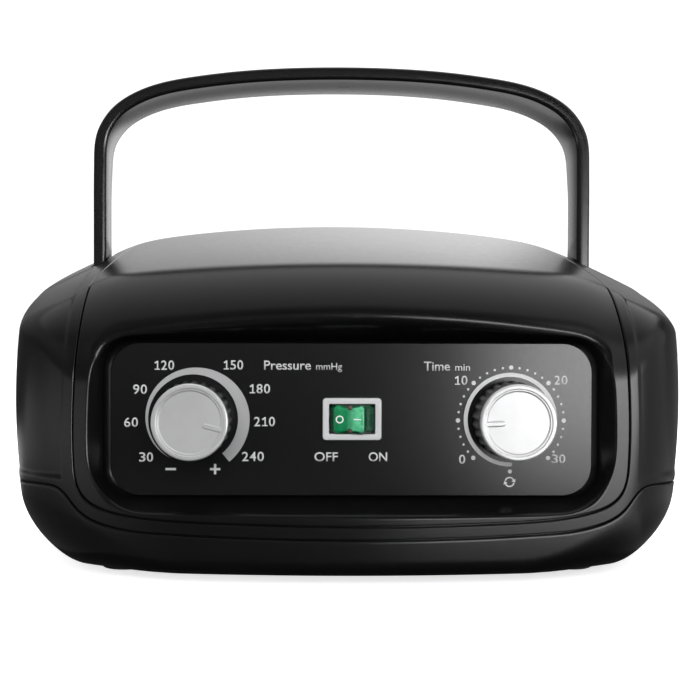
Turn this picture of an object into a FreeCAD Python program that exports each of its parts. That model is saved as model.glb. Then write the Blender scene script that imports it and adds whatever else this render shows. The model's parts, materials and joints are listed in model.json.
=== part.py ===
import FreeCAD, Part
import math
import os
from FreeCAD import Vector as V

# Compression therapy pump: a table-top air compressor unit for pneumatic
# compression sleeves.  Millimetres.  Origin at the middle of the footprint,
# on the surface it stands on.  +X to the right, +Y to the back, +Z up.
# The control panel faces -Y.

os.makedirs("parts", exist_ok=True)

# ---------------------------------------------------------------- housing
FRONT_Y = -100.0        # foremost point of the housing
BACK_Y = 103.5          # rearmost point
FRONT_R = 410.0         # plan radius of the bowed front
BACK_R = 300.0          # plan radius of the back
HALF_W = 132.0          # half width at the widest level
SIDE_RY = 293.0         # plan radius of the bowed sides
SIDE_RZ = 253.0         # upright radius of the bowed sides
WIDEST_Z = 63.5
FLOOR_Z = 3.0           # underside of the housing, above the feet's soles
R_FRONT_SIDE = 20.0
R_BACK_SIDE = 34.0
R_FRONT_TOP = 30.0
R_BOTTOM_SIDE = 28.3
TOP_Z0 = 118.8          # roof height on the centre line at y = -55
TOP_S1 = 0.25           # roof slope there
TOP_S2 = 0.00071        # how the slope falls towards the back
TOP_K2 = 0.00079        # crown across the width
KINK_X = 90.0           # the shoulders fall away outside this
KINK_S = 0.31
KINK_W = 8.6
WALL = 2.6

COVER_BACK_Y = 72.0     # rear seam of the centre cover
SEAM = 0.25             # gap between housing parts

# ---------------------------------------------------------------- front
PANEL_Y = -86.0
PANEL_T = 2.0
PANEL_HALF = 86.1
PANEL_Z0, PANEL_Z1 = 30.5, 84.9
PANEL_R = 10.5
GAP_X, GAP_Z = 2.0, 1.0 # groove round the panel, at its ends and along it
DIAL_X = 57.0
DIAL_Z = 57.7
KNOB_Y = -103.5         # face of the knobs
KNOB_R = 13.4
CAP_T = 2.2             # silver cap on the front of each knob
SKIRT_R = 14.0          # fluted black body of the knob, at its foot
FLUTES = 40
ROCKER_Z = 57.9
BEZEL_W, BEZEL_H = 21.0, 15.0
ROCKER_W, ROCKER_H = 15.8, 10.3

# ---------------------------------------------------------------- handle
H_PIVOT_Y, H_PIVOT_Z = 9.0, 106.0
H_HALF = 104.5          # outside of the legs
H_T = 5.3               # strap thickness
H_Y0, H_LEG_Y1, H_TOP_Y1 = -3.0, 17.0, 34.0
PIN_R = 3.0


def box(x0, x1, y0, y1, z0, z1):
    return Part.makeBox(x1 - x0, y1 - y0, z1 - z0, V(x0, y0, z0))


def cx(r, x0, x1, y, z):
    return Part.makeCylinder(r, x1 - x0, V(x0, y, z), V(1, 0, 0))


def cy(r, y0, y1, x, z):
    return Part.makeCylinder(r, y1 - y0, V(x, y0, z), V(0, 1, 0))


def cz(r, z0, z1, x, y):
    return Part.makeCylinder(r, z1 - z0, V(x, y, z0), V(0, 0, 1))


def rrect(hw, z0, z1, r, y):
    """Rounded rectangle wire, half width hw, in the plane y."""
    p = [V(-hw + r, y, z0), V(hw - r, y, z0), V(hw, y, z0 + r), V(hw, y, z1 - r),
         V(hw - r, y, z1), V(-hw + r, y, z1), V(-hw, y, z1 - r), V(-hw, y, z0 + r)]
    c = math.sqrt(0.5)
    m = [V(hw - r + r * c, y, z0 + r - r * c), V(hw - r + r * c, y, z1 - r + r * c),
         V(-hw + r - r * c, y, z1 - r + r * c), V(-hw + r - r * c, y, z0 + r - r * c)]
    e = [Part.LineSegment(p[0], p[1]).toShape(), Part.Arc(p[1], m[0], p[2]).toShape(),
         Part.LineSegment(p[2], p[3]).toShape(), Part.Arc(p[3], m[1], p[4]).toShape(),
         Part.LineSegment(p[4], p[5]).toShape(), Part.Arc(p[5], m[2], p[6]).toShape(),
         Part.LineSegment(p[6], p[7]).toShape(), Part.Arc(p[7], m[3], p[0]).toShape()]
    return Part.Wire(e)


def prism_y(wire, y0, y1):
    """Extrude a wire that lies in y = y0 to y1."""
    return Part.Face(wire).extrude(V(0, y1 - y0, 0))


def one(s):
    """The largest solid of a result, without loose crumbs."""
    sol = sorted(s.Solids, key=lambda q: -q.Volume)
    return sol[0]


def put(name, s, many=False):
    if isinstance(s, (list, tuple)):
        s = Part.makeCompound(list(s))
    if not many and len(s.Solids) != 1:
        print("NOTE", name, "has", len(s.Solids), "solids", [round(q.Volume, 1) for q in s.Solids])
        s = one(s)
    bad = [q for q in s.Solids if not q.isValid()]
    if bad or not s.Solids:
        print("BAD", name)
    if len(s.Solids) == 1:
        s = s.Solids[0]
    s.exportStep("parts/%s.step" % name)
    b = s.BoundBox
    print("%-26s %2d %10.1f  x %.1f..%.1f y %.1f..%.1f z %.1f..%.1f" % (
        name, len(s.Solids), s.Volume, b.XMin, b.XMax, b.YMin, b.YMax, b.ZMin, b.ZMax))
    return s


# ---------------------------------------------------------------- outer form
def smax(a, b, r):
    if a > -r and b > -r:
        return math.hypot(a + r, b + r) - r
    return max(a, b)


def roof(x, y):
    s = abs(x) - KINK_X
    return (TOP_Z0 + TOP_S1 * (y + 55) - TOP_S2 * (y + 55) ** 2 - TOP_K2 * x * x
            - KINK_S * 0.5 * (s + math.sqrt(s * s + KINK_W * KINK_W)))


def drop(x):
    """How far the roof lies below its centre line at x."""
    return roof(0, 0) - roof(x, 0)


EDGE = 0.8              # the upright sides of the roof form stand this far out


def top_curve(off):
    """Points of the centre line's roof, with its front and back roundings."""
    y0, y1, r = FRONT_Y - EDGE + off, BACK_Y + EDGE - off, R_FRONT_TOP - off
    pts = []
    for i in range(41):
        y = y0 + (y1 - y0) * 0.5 * (1 - math.cos(math.pi * i / 40))
        lo, hi = 40.0, 180.0
        for _ in range(40):
            z = 0.5 * (lo + hi)
            dt = (z - roof(0, y)) / 1.03 + off
            d = smax(smax(y0 - y, dt, r), y - y1, r)
            if d < 0:
                lo = z
            else:
                hi = z
        pts.append((y, lo))
    keep = [0, 3, 5, 7, 9, 11, 13, 16, 20, 24, 27, 29, 31, 33, 35, 37, 40]
    return [pts[i] for i in keep]


def roof_wire(off, x, pts):
    d = drop(x)
    bs = Part.BSplineCurve()
    bs.interpolate(Points=[V(x, y, z - d) for y, z in pts])
    a, b = V(x, pts[0][0], pts[0][1] - d), V(x, pts[-1][0], pts[-1][1] - d)
    c, e = V(x, pts[-1][0], -60 - d), V(x, pts[0][0], -60 - d)
    return Part.Wire([bs.toShape(), Part.LineSegment(b, c).toShape(),
                      Part.LineSegment(c, e).toShape(), Part.LineSegment(e, a).toShape()])


def arc3(p, q, r):
    return Part.Arc(V(*p), V(*q), V(*r)).toShape()


def plan_face(off):
    """Bowed plan: front, corner, side, corner and back arcs, mirrored."""
    def half(y, w):
        lo, hi = 0.0, 200.0
        for _ in range(40):
            x = 0.5 * (lo + hi)
            df = math.hypot(x, y - (FRONT_Y + FRONT_R)) - FRONT_R
            db = math.hypot(x, y - (BACK_Y - BACK_R)) - BACK_R
            ds = x - HALF_W + y * y / (2 * SIDE_RY)
            if smax(smax(df, ds, R_FRONT_SIDE), db, R_BACK_SIDE) < -w:
                lo = x
            else:
                hi = x
        return (lo, y, -20.0)

    def front(x):
        return (x, FRONT_Y + off + FRONT_R - off - math.sqrt((FRONT_R - off) ** 2 - x * x), -20.0)

    def back(x):
        return (x, BACK_Y - off - (BACK_R - off) + math.sqrt((BACK_R - off) ** 2 - x * x), -20.0)
    fa, ba = front(107.0 - off), back(94.0 - off)
    c1, s0, s1, c2 = half(-75.5, off), half(-62.0, off), half(50.0, off), half(74.0, off)
    m = half(-6.0, off)
    def mir(p):
        return (-p[0], p[1], p[2])
    e = [arc3(mir(fa), front(0), fa), arc3(fa, c1, s0), arc3(s0, m, s1), arc3(s1, c2, ba),
         arc3(ba, back(0), mir(ba)), arc3(mir(ba), mir(c2), mir(s1)), arc3(mir(s1), mir(m), mir(s0)),
         arc3(mir(s0), mir(c1), mir(fa))]
    return Part.Face(Part.Wire(e)).extrude(V(0, 0, 240))


def front_face(off):
    """Front view: flat underside, large lower corners, bowed sides."""
    w = HALF_W - off
    f = FLOOR_Z + off

    def sx(z):
        return w - (z - WIDEST_Z) ** 2 / (2 * SIDE_RZ)
    a = (80.0, -160.0, f)
    k = R_BOTTOM_SIDE - off
    top = (sx(125.0), -160.0, 125.0)
    low = (sx(36.0), -160.0, 36.0)
    m = (low[0] - k + k * 0.74 + 0.4, -160.0, f + k - k * 0.72)
    b = (low[0] - k * 0.86, -160.0, f + 1.9)
    def mir(p):
        return (-p[0], p[1], p[2])
    e = [Part.LineSegment(V(*mir(a)), V(*a)).toShape(), Part.LineSegment(V(*a), V(*b)).toShape(),
         arc3(b, m, low), arc3(low, (sx(80.0), -160.0, 80.0), top),
         Part.LineSegment(V(*top), V(top[0], -160, 200)).toShape(),
         Part.LineSegment(V(top[0], -160, 200), V(-top[0], -160, 200)).toShape(),
         Part.LineSegment(V(-top[0], -160, 200), V(*mir(top))).toShape(),
         arc3(mir(top), (-sx(80.0), -160.0, 80.0), mir(low)), arc3(mir(low), mir(m), mir(b)),
         Part.LineSegment(V(*mir(b)), V(*mir(a))).toShape()]
    return Part.Face(Part.Wire(e)).extrude(V(0, 320, 0))


def body(off):
    pts = top_curve(off)
    ws = [roof_wire(off, x, pts) for x in (-92.0, -50.0, 0.0, 50.0, 92.0)]
    core = Part.makeLoft(ws, True, False)
    s = (drop(132.0) - drop(92.0)) / 40.0
    for sg in (-1, 1):
        core = core.fuse(Part.Face(roof_wire(off, sg * 92.0, pts)).extrude(V(sg * 46.0, 0, -s * 46.0)))
    return one(core.common(plan_face(off)).common(front_face(off)))


OUT = body(0.0)
INN = body(WALL)
SHELL = OUT.cut(INN)
print("outer", OUT.isValid(), round(OUT.Volume), OUT.BoundBox, "inner", INN.isValid(), "shell", SHELL.isValid(), round(SHELL.Volume))


# ---------------------------------------------------------------- parting lines
def outline(half, top):
    """Closed smooth wire in x-z from half-width points, mirrored, closed above."""
    right = [V(x, -160, z) for x, z in half]
    left = [V(-x, -160, z) for x, z in reversed(half[1:])]
    bs = Part.BSplineCurve()
    bs.interpolate(Points=left + right)
    a, b = left[0], right[-1]
    e = [bs.toShape(), Part.LineSegment(b, V(b.x, -160, top)).toShape(),
         Part.LineSegment(V(b.x, -160, top), V(a.x, -160, top)).toShape(),
         Part.LineSegment(V(a.x, -160, top), a).toShape()]
    return Part.Wire(e)


SPLIT_PTS = [(0, 16.4), (28, 16.7), (53, 17.3), (66, 17.8), (77, 18.4), (86, 19.9), (92.5, 22.0),
             (97, 24.7), (100.2, 28.0), (103, 31.2), (106, 33.2), (110, 33.9), (124, 33.4), (150, 33.4)]
SEAM_PTS = [(0, 21.1), (28, 21.4), (53, 22.0), (66, 22.5), (77, 23.5), (86.5, 25.3), (92.5, 27.6),
            (96.4, 31.0), (98.5, 35.6), (99.3, 42), (99.6, 56), (99.0, 72), (98.0, 88), (97.0, 103),
            (95.9, 111), (93.6, 117), (91.4, 124), (89.2, 130), (87.0, 136), (85.5, 145)]

UPPER_ZONE = prism_y(outline(SPLIT_PTS, 200.0), -160, 160)
COVER_ZONE = prism_y(outline(SEAM_PTS, 200.0), -160, COVER_BACK_Y)
COVER_HOLE = prism_y(outline([(x + (SEAM if z > 40 else 0) * 1.0, z - (0 if z > 40 else SEAM)) for x, z in SEAM_PTS], 200.0),
                     -160, COVER_BACK_Y + SEAM)

upper = SHELL.common(UPPER_ZONE).cut(COVER_HOLE)
low_zone = box(-150, 150, -150, 150, -10, 60).cut(prism_y(outline([(x, z - SEAM) for x, z in SPLIT_PTS], 200.0), -160, 160))
lower = SHELL.common(low_zone)
cover = SHELL.common(COVER_ZONE)

# ---------------------------------------------------------------- centre cover
# the recess widens from the panel to a lip on the bowed front
near = rrect(PANEL_HALF + GAP_X, PANEL_Z0 - GAP_Z, PANEL_Z1 + GAP_Z, PANEL_R, PANEL_Y + PANEL_T)
near2 = rrect(PANEL_HALF + GAP_X, PANEL_Z0 - GAP_Z, PANEL_Z1 + GAP_Z, PANEL_R, PANEL_Y)
far = rrect(PANEL_HALF + 16.5, PANEL_Z0 - 6.4, PANEL_Z1 + 9.5, 24.0, PANEL_Y - 17.0)
RECESS = Part.makeLoft([near2, far], True, True).fuse(prism_y(near, PANEL_Y + PANEL_T, PANEL_Y - 0.02))
pn = rrect(PANEL_HALF + 2.6, PANEL_Z0 - 2.6, PANEL_Z1 + 2.6, PANEL_R + 2, PANEL_Y + PANEL_T + 2.4)
pf = rrect(PANEL_HALF + 19.5, PANEL_Z0 - 9.0, PANEL_Z1 + 13.0, 26.0, PANEL_Y - 17.0)
PAN = Part.makeLoft([pn, pf], True, True).common(OUT).common(COVER_ZONE)
cover = cover.fuse(PAN)
cover = cover.cut(RECESS)
for sx in (-1, 1):
    cover = cover.cut(cy(5.2, PANEL_Y - 2, PANEL_Y + 8, sx * DIAL_X, DIAL_Z))
cover = cover.cut(box(-9.7, 9.7, PANEL_Y - 2, PANEL_Y + 8, ROCKER_Z - 6.7, ROCKER_Z + 6.7))
cover = one(cover)

# ---------------------------------------------------------------- control panel
panel = prism_y(rrect(PANEL_HALF, PANEL_Z0, PANEL_Z1, PANEL_R, PANEL_Y), PANEL_Y, PANEL_Y + PANEL_T)
for sx in (-1, 1):
    panel = panel.cut(cy(4.75, PANEL_Y - 2, PANEL_Y + 8, sx * DIAL_X, DIAL_Z))
panel = panel.cut(box(-9.6, 9.6, PANEL_Y - 2, PANEL_Y + 8, ROCKER_Z - 6.6, ROCKER_Z + 6.6))

# ---------------------------------------------------------------- lower housing
FEET = [(-84, -58), (84, -58), (-84, 66), (84, 66)]
SCREWS = [(-104, -52), (104, -52), (-104, 62), (104, 62)]
for x, y in FEET:
    lower = lower.fuse(cz(12.0, 4.0, 8.0, x, y))
for x, y in SCREWS:
    lower = lower.fuse(cz(6.0, 4.0, 33.0, x, y).common(OUT))
for x in (-34, 54):
    for y in (8, 48):
        lower = lower.fuse(cz(6.5, 5.0, 9.0, x, y))
for x, y in ((-84, 12), (-84, 46)):
    lower = lower.fuse(cz(3.7, 4.9, 12.0, x, y))
lower = lower.fuse(box(88.5, 95.5, 3.5, 30.5, 4.9, 8.0).common(OUT))
for x, y in FEET:
    lower = lower.cut(cz(9.3, -1, 5.0, x, y)).cut(cz(2.0, 4.0, 9.0, x, y))
for x, y in SCREWS:
    lower = lower.cut(cz(4.6, -1, 22.0, x, y)).cut(cz(2.2, 21, 40, x, y))
for i in range(9):
    lower = lower.cut(box(-30 + 7.5 * i - 1.6, -30 + 7.5 * i + 1.6, -34, -4, 2, 6.5))
lower = one(lower)

# ---------------------------------------------------------------- handle wells
SLOT = (H_HALF - H_T - 1.1, H_HALF + 1.1)
for sx in (-1, 1):
    xs = sorted((sx * (SLOT[0] - 4.0), sx * (SLOT[1] + 4.0)))
    block = box(xs[0], xs[1], H_PIVOT_Y - 19, 70.0, 88.0, 140.0).common(OUT)
    upper = upper.fuse(block.cut(COVER_HOLE))
for x, y in SCREWS:
    upper = upper.fuse(cz(6.0, 33.6, 92.0, x, y))
for sx in (-1, 1):
    xs = sorted((sx * SLOT[0], sx * SLOT[1]))
    well = box(xs[0], xs[1], H_Y0 - 1.6, 20.0, 80.0, 150.0)
    # the well's back follows the folded leg
    p = [V(xs[0], 15, 80), V(xs[0], 24, 92), V(xs[0], 67, 119), V(xs[0], 67, 150), V(xs[0], 15, 150)]
    well = well.fuse(Part.Face(Part.makePolygon(p + [p[0]])).extrude(V(xs[1] - xs[0], 0, 0)))
    upper = upper.cut(well)
    xo = sorted((sx * (SLOT[0] - 4.2), sx * (SLOT[1] + 4.2)))
    upper = upper.cut(cx(PIN_R, xo[0] - 1, xo[1] + 1, H_PIVOT_Y, H_PIVOT_Z))
for x, y in SCREWS:
    upper = upper.cut(cz(1.7, 30, 52, x, y))

# ---------------------------------------------------------------- sockets and back panel
SOCK = (-40.0, 28.0, 38.0, 62.0)      # y0, y1, z0, z1
BACK = (-66.0, 66.0, 40.0, 84.0)      # x0, x1, z0, z1
upper = upper.cut(box(112, 140, SOCK[0] - SEAM, SOCK[1] + SEAM, SOCK[2] - SEAM, SOCK[3] + SEAM))
upper = upper.cut(box(-140, -112, SOCK[0] - SEAM, SOCK[1] + SEAM, SOCK[2] - SEAM, SOCK[3] + SEAM))
upper = upper.cut(box(BACK[0] - SEAM, BACK[1] + SEAM, 60, 130, BACK[2] - SEAM, BACK[3] + SEAM))
upper = one(upper)

put("upper_housing", upper)
put("lower_housing", lower)
put("center_cover", cover)
put("control_panel", panel)

rear = SHELL.common(box(BACK[0], BACK[1], 60, 130, BACK[2], BACK[3]))
INLET = (32.0, 62.0)
pocket = box(10.0, 62.0, 88.5, 120, 44.0, 80.0)
rear = rear.fuse(box(8.0, 64.0, 86.0, 103, 42.0, 82.0).common(OUT)).cut(pocket)
rear = rear.cut(box(INLET[0] - 13.7, INLET[0] + 13.7, 80, 120, INLET[1] - 9.9, INLET[1] + 9.9))
FUSE = (56.0, 62.0)
rear = rear.cut(cy(3.2, 80, 120, FUSE[0], FUSE[1]))
for i in range(8):
    rear = rear.cut(box(-60 + 7.6 * i, -57 + 7.6 * i, 60, 130, 47, 77))
put("rear_panel", rear)

# IEC inlet: flange and shroud with a hollow mouth
ix, iz = INLET
inlet = box(ix - 16.5, ix + 16.5, 85.6 + 2.9, 91.0, iz - 13.0, iz + 13.0)
inlet = inlet.fuse(box(ix - 13.5, ix + 13.5, 72.0, 91.0, iz - 9.7, iz + 9.7))
inlet = inlet.cut(box(ix - 12.0, ix + 12.0, 75.0, 95.0, iz - 8.2, iz + 8.2))
pins = [box(ix + dx - 2.0, ix + dx + 2.0, 66.0, 88.0, iz + dz - 1.0, iz + dz + 1.0) for dx, dz in ((-7, -2.0), (0, 2.0), (7, -2.0))]
for q in pins:
    inlet = inlet.cut(q)
put("power_inlet", inlet)
put("inlet_pins", pins, True)
fuse = cy(6.0, 88.5, 91.5, FUSE[0], FUSE[1]).fuse(cy(3.2, 66.0, 88.5, FUSE[0], FUSE[1]))
fuse = fuse.cut(box(FUSE[0] - 3.6, FUSE[0] + 3.6, 90.7, 93, FUSE[1] - 0.6, FUSE[1] + 0.6))
put("fuse_holder", fuse)

# hose sockets: four ports each side, flush with the bowed sides
PORT_Y = (-30.0, -14.0, 2.0, 18.0)
PORT_Z = 50.0
PORT_R = 4.5
for nm, sg in (("hose_socket_right", 1), ("hose_socket_left", -1)):
    xs = sorted((sg * 114.0, sg * 140.0))
    s = OUT.common(box(xs[0], xs[1], SOCK[0], SOCK[1], SOCK[2], SOCK[3]))
    for y in PORT_Y:
        s = s.cut(cx(PORT_R, xs[0] - 1, xs[1] + 1, y, PORT_Z))
    put(nm, s)

# ---------------------------------------------------------------- handle
ARCH = [(104.5, 150.0), (104.4, 160.0), (104.1, 167.5), (103.0, 172.7), (100.5, 177.9), (96.4, 183.1),
        (89.8, 188.0), (78.5, 192.8), (62.0, 196.2), (46.4, 198.2), (24.0, 199.8), (0.0, 200.3)]


def arch_face(pts):
    full = pts + [(-x, z) for x, z in reversed(pts[:-1])]
    bs = Part.BSplineCurve()
    bs.interpolate(Points=[V(x, H_Y0, z) for x, z in full])
    a, b = full[0], full[-1]
    e = [bs.toShape(), Part.LineSegment(V(b[0], H_Y0, b[1]), V(b[0], H_Y0, 90)).toShape(),
         Part.LineSegment(V(b[0], H_Y0, 90), V(a[0], H_Y0, 90)).toShape(),
         Part.LineSegment(V(a[0], H_Y0, 90), V(a[0], H_Y0, a[1])).toShape()]
    return Part.Face(Part.Wire(e))


inner_pts = []
for i, (x, z) in enumerate(ARCH):
    p, n = ARCH[max(i - 1, 0)], ARCH[min(i + 1, len(ARCH) - 1)]
    tx, tz = n[0] - p[0], n[1] - p[1]
    if i == len(ARCH) - 1:
        tx, tz = -1.0, 0.0
    if i == 0:
        tx, tz = 0.0, 1.0
    k = math.hypot(tx, tz)
    inner_pts.append((x - H_T * tz / k, z + H_T * tx / k))
handle = arch_face(ARCH).extrude(V(0, 60, 0)).cut(arch_face(inner_pts).extrude(V(0, 60, 0)))
prof = [(H_Y0 - 1, 106.0), (H_Y0 - 1, 210.0), (H_TOP_Y1, 210.0), (H_TOP_Y1, 196.0), (31.0, 187.0), (26.0, 175.0),
        (20.5, 162.0), (H_LEG_Y1, 146.0), (H_LEG_Y1, 124.0), (H_PIVOT_Y + 11.8, 108.0), (H_PIVOT_Y + 11.8, 106.0)]
side = Part.Face(Part.makePolygon([V(-120, y, z) for y, z in prof + [prof[0]]])).extrude(V(240, 0, 0))
side = side.fuse(cx(12.0, -120, 120, H_PIVOT_Y, H_PIVOT_Z))
handle = one(handle.common(side)).cut(cx(PIN_R + 0.05, -120, 120, H_PIVOT_Y, H_PIVOT_Z))
put("handle", handle)
put("handle_pivot_pins", [cx(PIN_R, sg * 102.2 - 7.4, sg * 102.2 + 7.4, H_PIVOT_Y, H_PIVOT_Z) for sg in (-1, 1)], True)

# ---------------------------------------------------------------- feet and screws
feet = []
for x, y in FEET:
    f = cz(9.0, 0.0, 5.0, x, y).fuse(cz(1.9, 5.0, 10.0, x, y))
    f = f.makeFillet(0.8, [e for e in f.Edges if abs(e.BoundBox.ZMax) < 1e-3])
    feet.append(f)
put("rubber_feet", feet, True)
scr = []
for x, y in SCREWS:
    s = cz(4.0, 19.6, 22.0, x, y).fuse(cz(1.7, 22.0, 50.0, x, y))
    s = s.cut(box(x - 3, x + 3, y - 0.5, y + 0.5, 18, 20.6)).cut(box(x - 0.5, x + 0.5, y - 3, y + 3, 18, 20.6))
    scr.append(s)
put("housing_screws", scr, True)

# ---------------------------------------------------------------- knobs, bushes, nuts
def knob_body(x):
    """Fluted black body: tapered, hollow over the bush's nut, bored for the shaft."""
    y0, y1 = KNOB_Y + CAP_T, PANEL_Y - 0.6
    s = Part.makeCone(KNOB_R - 0.1, SKIRT_R, y1 - y0, V(x, y0, DIAL_Z), V(0, 1, 0))
    for i in range(FLUTES):
        a = 2 * math.pi * (i + 0.5) / FLUTES
        c, q = math.cos(a), math.sin(a)
        g = Part.makeCylinder(0.75, y1 - y0 + 2, V(x + (KNOB_R + 0.35) * c, y0 - 1, DIAL_Z + (KNOB_R + 0.35) * q),
                              V(c * (SKIRT_R - KNOB_R + 0.1), y1 - y0, q * (SKIRT_R - KNOB_R + 0.1)))
        s = s.cut(g)
    s = s.cut(cy(9.6, PANEL_Y - 2.9, PANEL_Y, x, DIAL_Z))
    return s.cut(cy(3.0, PANEL_Y - 12.5, PANEL_Y, x, DIAL_Z))


def knob_cap(x, ang):
    """Silver cap: chamfered rim, sunk face, raised pointer."""
    y0, y1 = KNOB_Y, KNOB_Y + CAP_T
    s = cy(KNOB_R, y0, y1, x, DIAL_Z)
    e = [q for q in s.Edges if abs(q.BoundBox.YMax - y0) < 1e-3]
    s = s.makeChamfer(0.5, e)
    s = s.cut(cy(10.9, y0 - 1, y0 + 0.7, x, DIAL_Z))
    p = box(x + 4.7, x + 11.2, y0 + 0.1, y0 + 1.2, DIAL_Z - 0.7, DIAL_Z + 0.7)
    p.rotate(V(x, 0, DIAL_Z), V(0, 1, 0), -ang)
    return s.fuse(p)


PRESSURE_REST, TIMER_REST = -14.0, 183.0
put("pressure_knob", knob_cap(-DIAL_X, PRESSURE_REST))
put("pressure_knob_skirt", knob_body(-DIAL_X))
put("timer_knob", knob_cap(DIAL_X, TIMER_REST))
put("timer_knob_skirt", knob_body(DIAL_X))
nuts = []
for sx in (-1, 1):
    hx = [V(sx * DIAL_X + 7.6 * math.cos(math.pi * k / 3), PANEL_Y - 2.2, DIAL_Z + 7.6 * math.sin(math.pi * k / 3)) for k in range(6)]
    nuts.append(Part.Face(Part.makePolygon(hx + [hx[0]])).extrude(V(0, 2.2, 0)).cut(cy(4.6, PANEL_Y - 4, PANEL_Y + 1, sx * DIAL_X, DIAL_Z)))
put("bush_nuts", nuts, True)

# ---------------------------------------------------------------- rocker switch
PV = (0.0, PANEL_Y)     # rocker pivot, x and y
RK = 8.0                # end radius of the rocker about its pivot
fr = box(-BEZEL_W / 2, BEZEL_W / 2, PANEL_Y - 2.0, PANEL_Y, ROCKER_Z - BEZEL_H / 2, ROCKER_Z + BEZEL_H / 2)
fr = fr.makeFillet(0.7, [e for e in fr.Edges if e.BoundBox.YLength < 1e-3 and abs(e.BoundBox.YMin - PANEL_Y + 2.0) < 1e-3])
fr = fr.fuse(box(-9.5, 9.5, PANEL_Y, PANEL_Y + 22, ROCKER_Z - 6.5, ROCKER_Z + 6.5))
fr = fr.cut(box(-8.25, 8.25, PANEL_Y - 3, PANEL_Y + 13, ROCKER_Z - 5.35, ROCKER_Z + 5.35))
fr = fr.cut(cz(1.05, ROCKER_Z - 6.0, ROCKER_Z + 6.0, *PV))
put("switch_frame", fr)
rp = [(-8.0, PV[1] + 0.4), (-7.2, PV[1] - 2.3), (-5.9, PV[1] - 4.15), (0, PV[1] - 3.5), (5.9, PV[1] - 4.15), (7.2, PV[1] - 2.3), (8.0, PV[1] + 0.4),
      (5.0, PV[1] + 6.3), (-5.0, PV[1] + 6.3)]
rk = Part.Face(Part.makePolygon([V(x, y, ROCKER_Z - 5.05) for x, y in rp + [rp[0]]])).extrude(V(0, 0, 10.1))
rk = rk.common(cz(RK, ROCKER_Z - 6, ROCKER_Z + 6, *PV))
rk = rk.fuse(cz(1.0, ROCKER_Z - 5.9, ROCKER_Z + 5.9, *PV))
rk.rotate(V(PV[0], PV[1], 0), V(0, 0, 1), -11.0)
put("switch_rocker", rk)
put("switch_terminals", [box(x - 0.4, x + 0.4, PANEL_Y + 22, PANEL_Y + 31, ROCKER_Z - 3, ROCKER_Z + 3) for x in (-6.5, 0.0, 6.5)], True)

# ---------------------------------------------------------------- pressure regulator
rx, rz = -DIAL_X, DIAL_Z
BUSH = (PANEL_Y - 2.2, PANEL_Y + PANEL_T + 2.4)
reg = cy(14.0, BUSH[1], -50.0, rx, rz).fuse(cy(4.6, BUSH[0], BUSH[1], rx, rz))
reg = reg.cut(cy(10.5, BUSH[1] + 3.0, -54.0, rx, rz)).cut(cy(3.05, BUSH[0] - 1, BUSH[1] + 4, rx, rz))
reg = reg.cut(cy(2.0, -55, -49, rx, rz))
put("regulator_body", reg)
shaft = cy(3.0, PANEL_Y - 12.5, -76.4, rx, rz).fuse(cy(6.0, -78.4, -76.4, rx, rz))
put("regulator_shaft", shaft)
put("regulator_plunger", cy(10.44, -71.0, -68.0, rx, rz))
ring = []
for i in range(4):
    ring.append(Part.makeTorus(8.6, 0.7, V(rx, -65.6 + 3.1 * i, rz), V(0, 1, 0)))
ring.append(cy(9.3, -67.9, -67.0, rx, rz).cut(cy(7.5, -69, -66, rx, rz)))
ring.append(cy(9.3, -55.2, -54.1, rx, rz).cut(cy(7.5, -56, -53, rx, rz)))
put("regulator_spring", ring, True)

# ---------------------------------------------------------------- timer
tx = DIAL_X
tim = box(tx - 20, tx + 20, BUSH[1], -46.0, DIAL_Z - 20, DIAL_Z + 20).fuse(cy(4.6, BUSH[0], BUSH[1], tx, DIAL_Z))
tim = tim.cut(box(tx - 17, tx + 17, BUSH[1] + 3, -49.0, DIAL_Z - 17, DIAL_Z + 17)).cut(cy(3.05, BUSH[0] - 1, BUSH[1] + 4, tx, DIAL_Z))
put("timer_body", tim)
tsh = cy(3.0, PANEL_Y - 12.5, -66.0, tx, DIAL_Z).fuse(cy(12.0, -72.0, -69.0, tx, DIAL_Z))
put("timer_shaft", tsh)
put("timer_movement", box(tx - 15, tx + 15, -62.0, -49.0, DIAL_Z - 15, DIAL_Z + 15))

# ---------------------------------------------------------------- compressor
CY0, CY1, CZ0, CZ1 = -8.0, 60.0, 13.0, 77.0
cyc, czc = 26.0, 45.0
hs = box(-38, 58, CY0, CY1, CZ0, CZ1).cut(box(-50, 70, CY0 + 5, CY1 - 5, CZ0 + 6, CZ1 - 6))
put("compressor_housing", hs)
put("compressor_coils", [box(-10, 30, cyc - 23, cyc + 23, 19, 35.0), box(-10, 30, cyc - 23, cyc + 23, 55.0, 71.0)], True)
arm = box(-4, 24, cyc - 14, cyc + 14, 39.5, 50.5).fuse(cx(3.9, -46.0, 66.0, cyc, czc))
for x0 in (-46.0, 64.0):
    arm = arm.fuse(cx(10.0, x0, x0 + 2.0, cyc, czc))
put("compressor_armature", arm)
dia = []
for nm, x0, x1 in (("left", -40.5, -38.0), ("right", 58.0, 60.5)):
    d = cx(26.0, x0, x1, cyc, czc).cut(cx(4.4, x0 - 1, x1 + 1, cyc, czc))
    put("diaphragm_" + nm, d)
put("compressor_head_left", box(-58, -40.5, cyc - 27, cyc + 27, 18, 72).cut(cx(22.0, -53.0, -40, cyc, czc)).cut(cx(3.0, -60, -52, cyc, 58.0)))
put("compressor_head_right", box(60.5, 78, cyc - 27, cyc + 27, 18, 72).cut(cx(22.0, 60, 73.0, cyc, czc)).cut(cx(3.0, 72, 80, cyc, 58.0)))
put("compressor_mounts", [cz(6.5, 9.0, 13.0, x, y) for x in (-34, 54) for y in (8, 48)], True)

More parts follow.
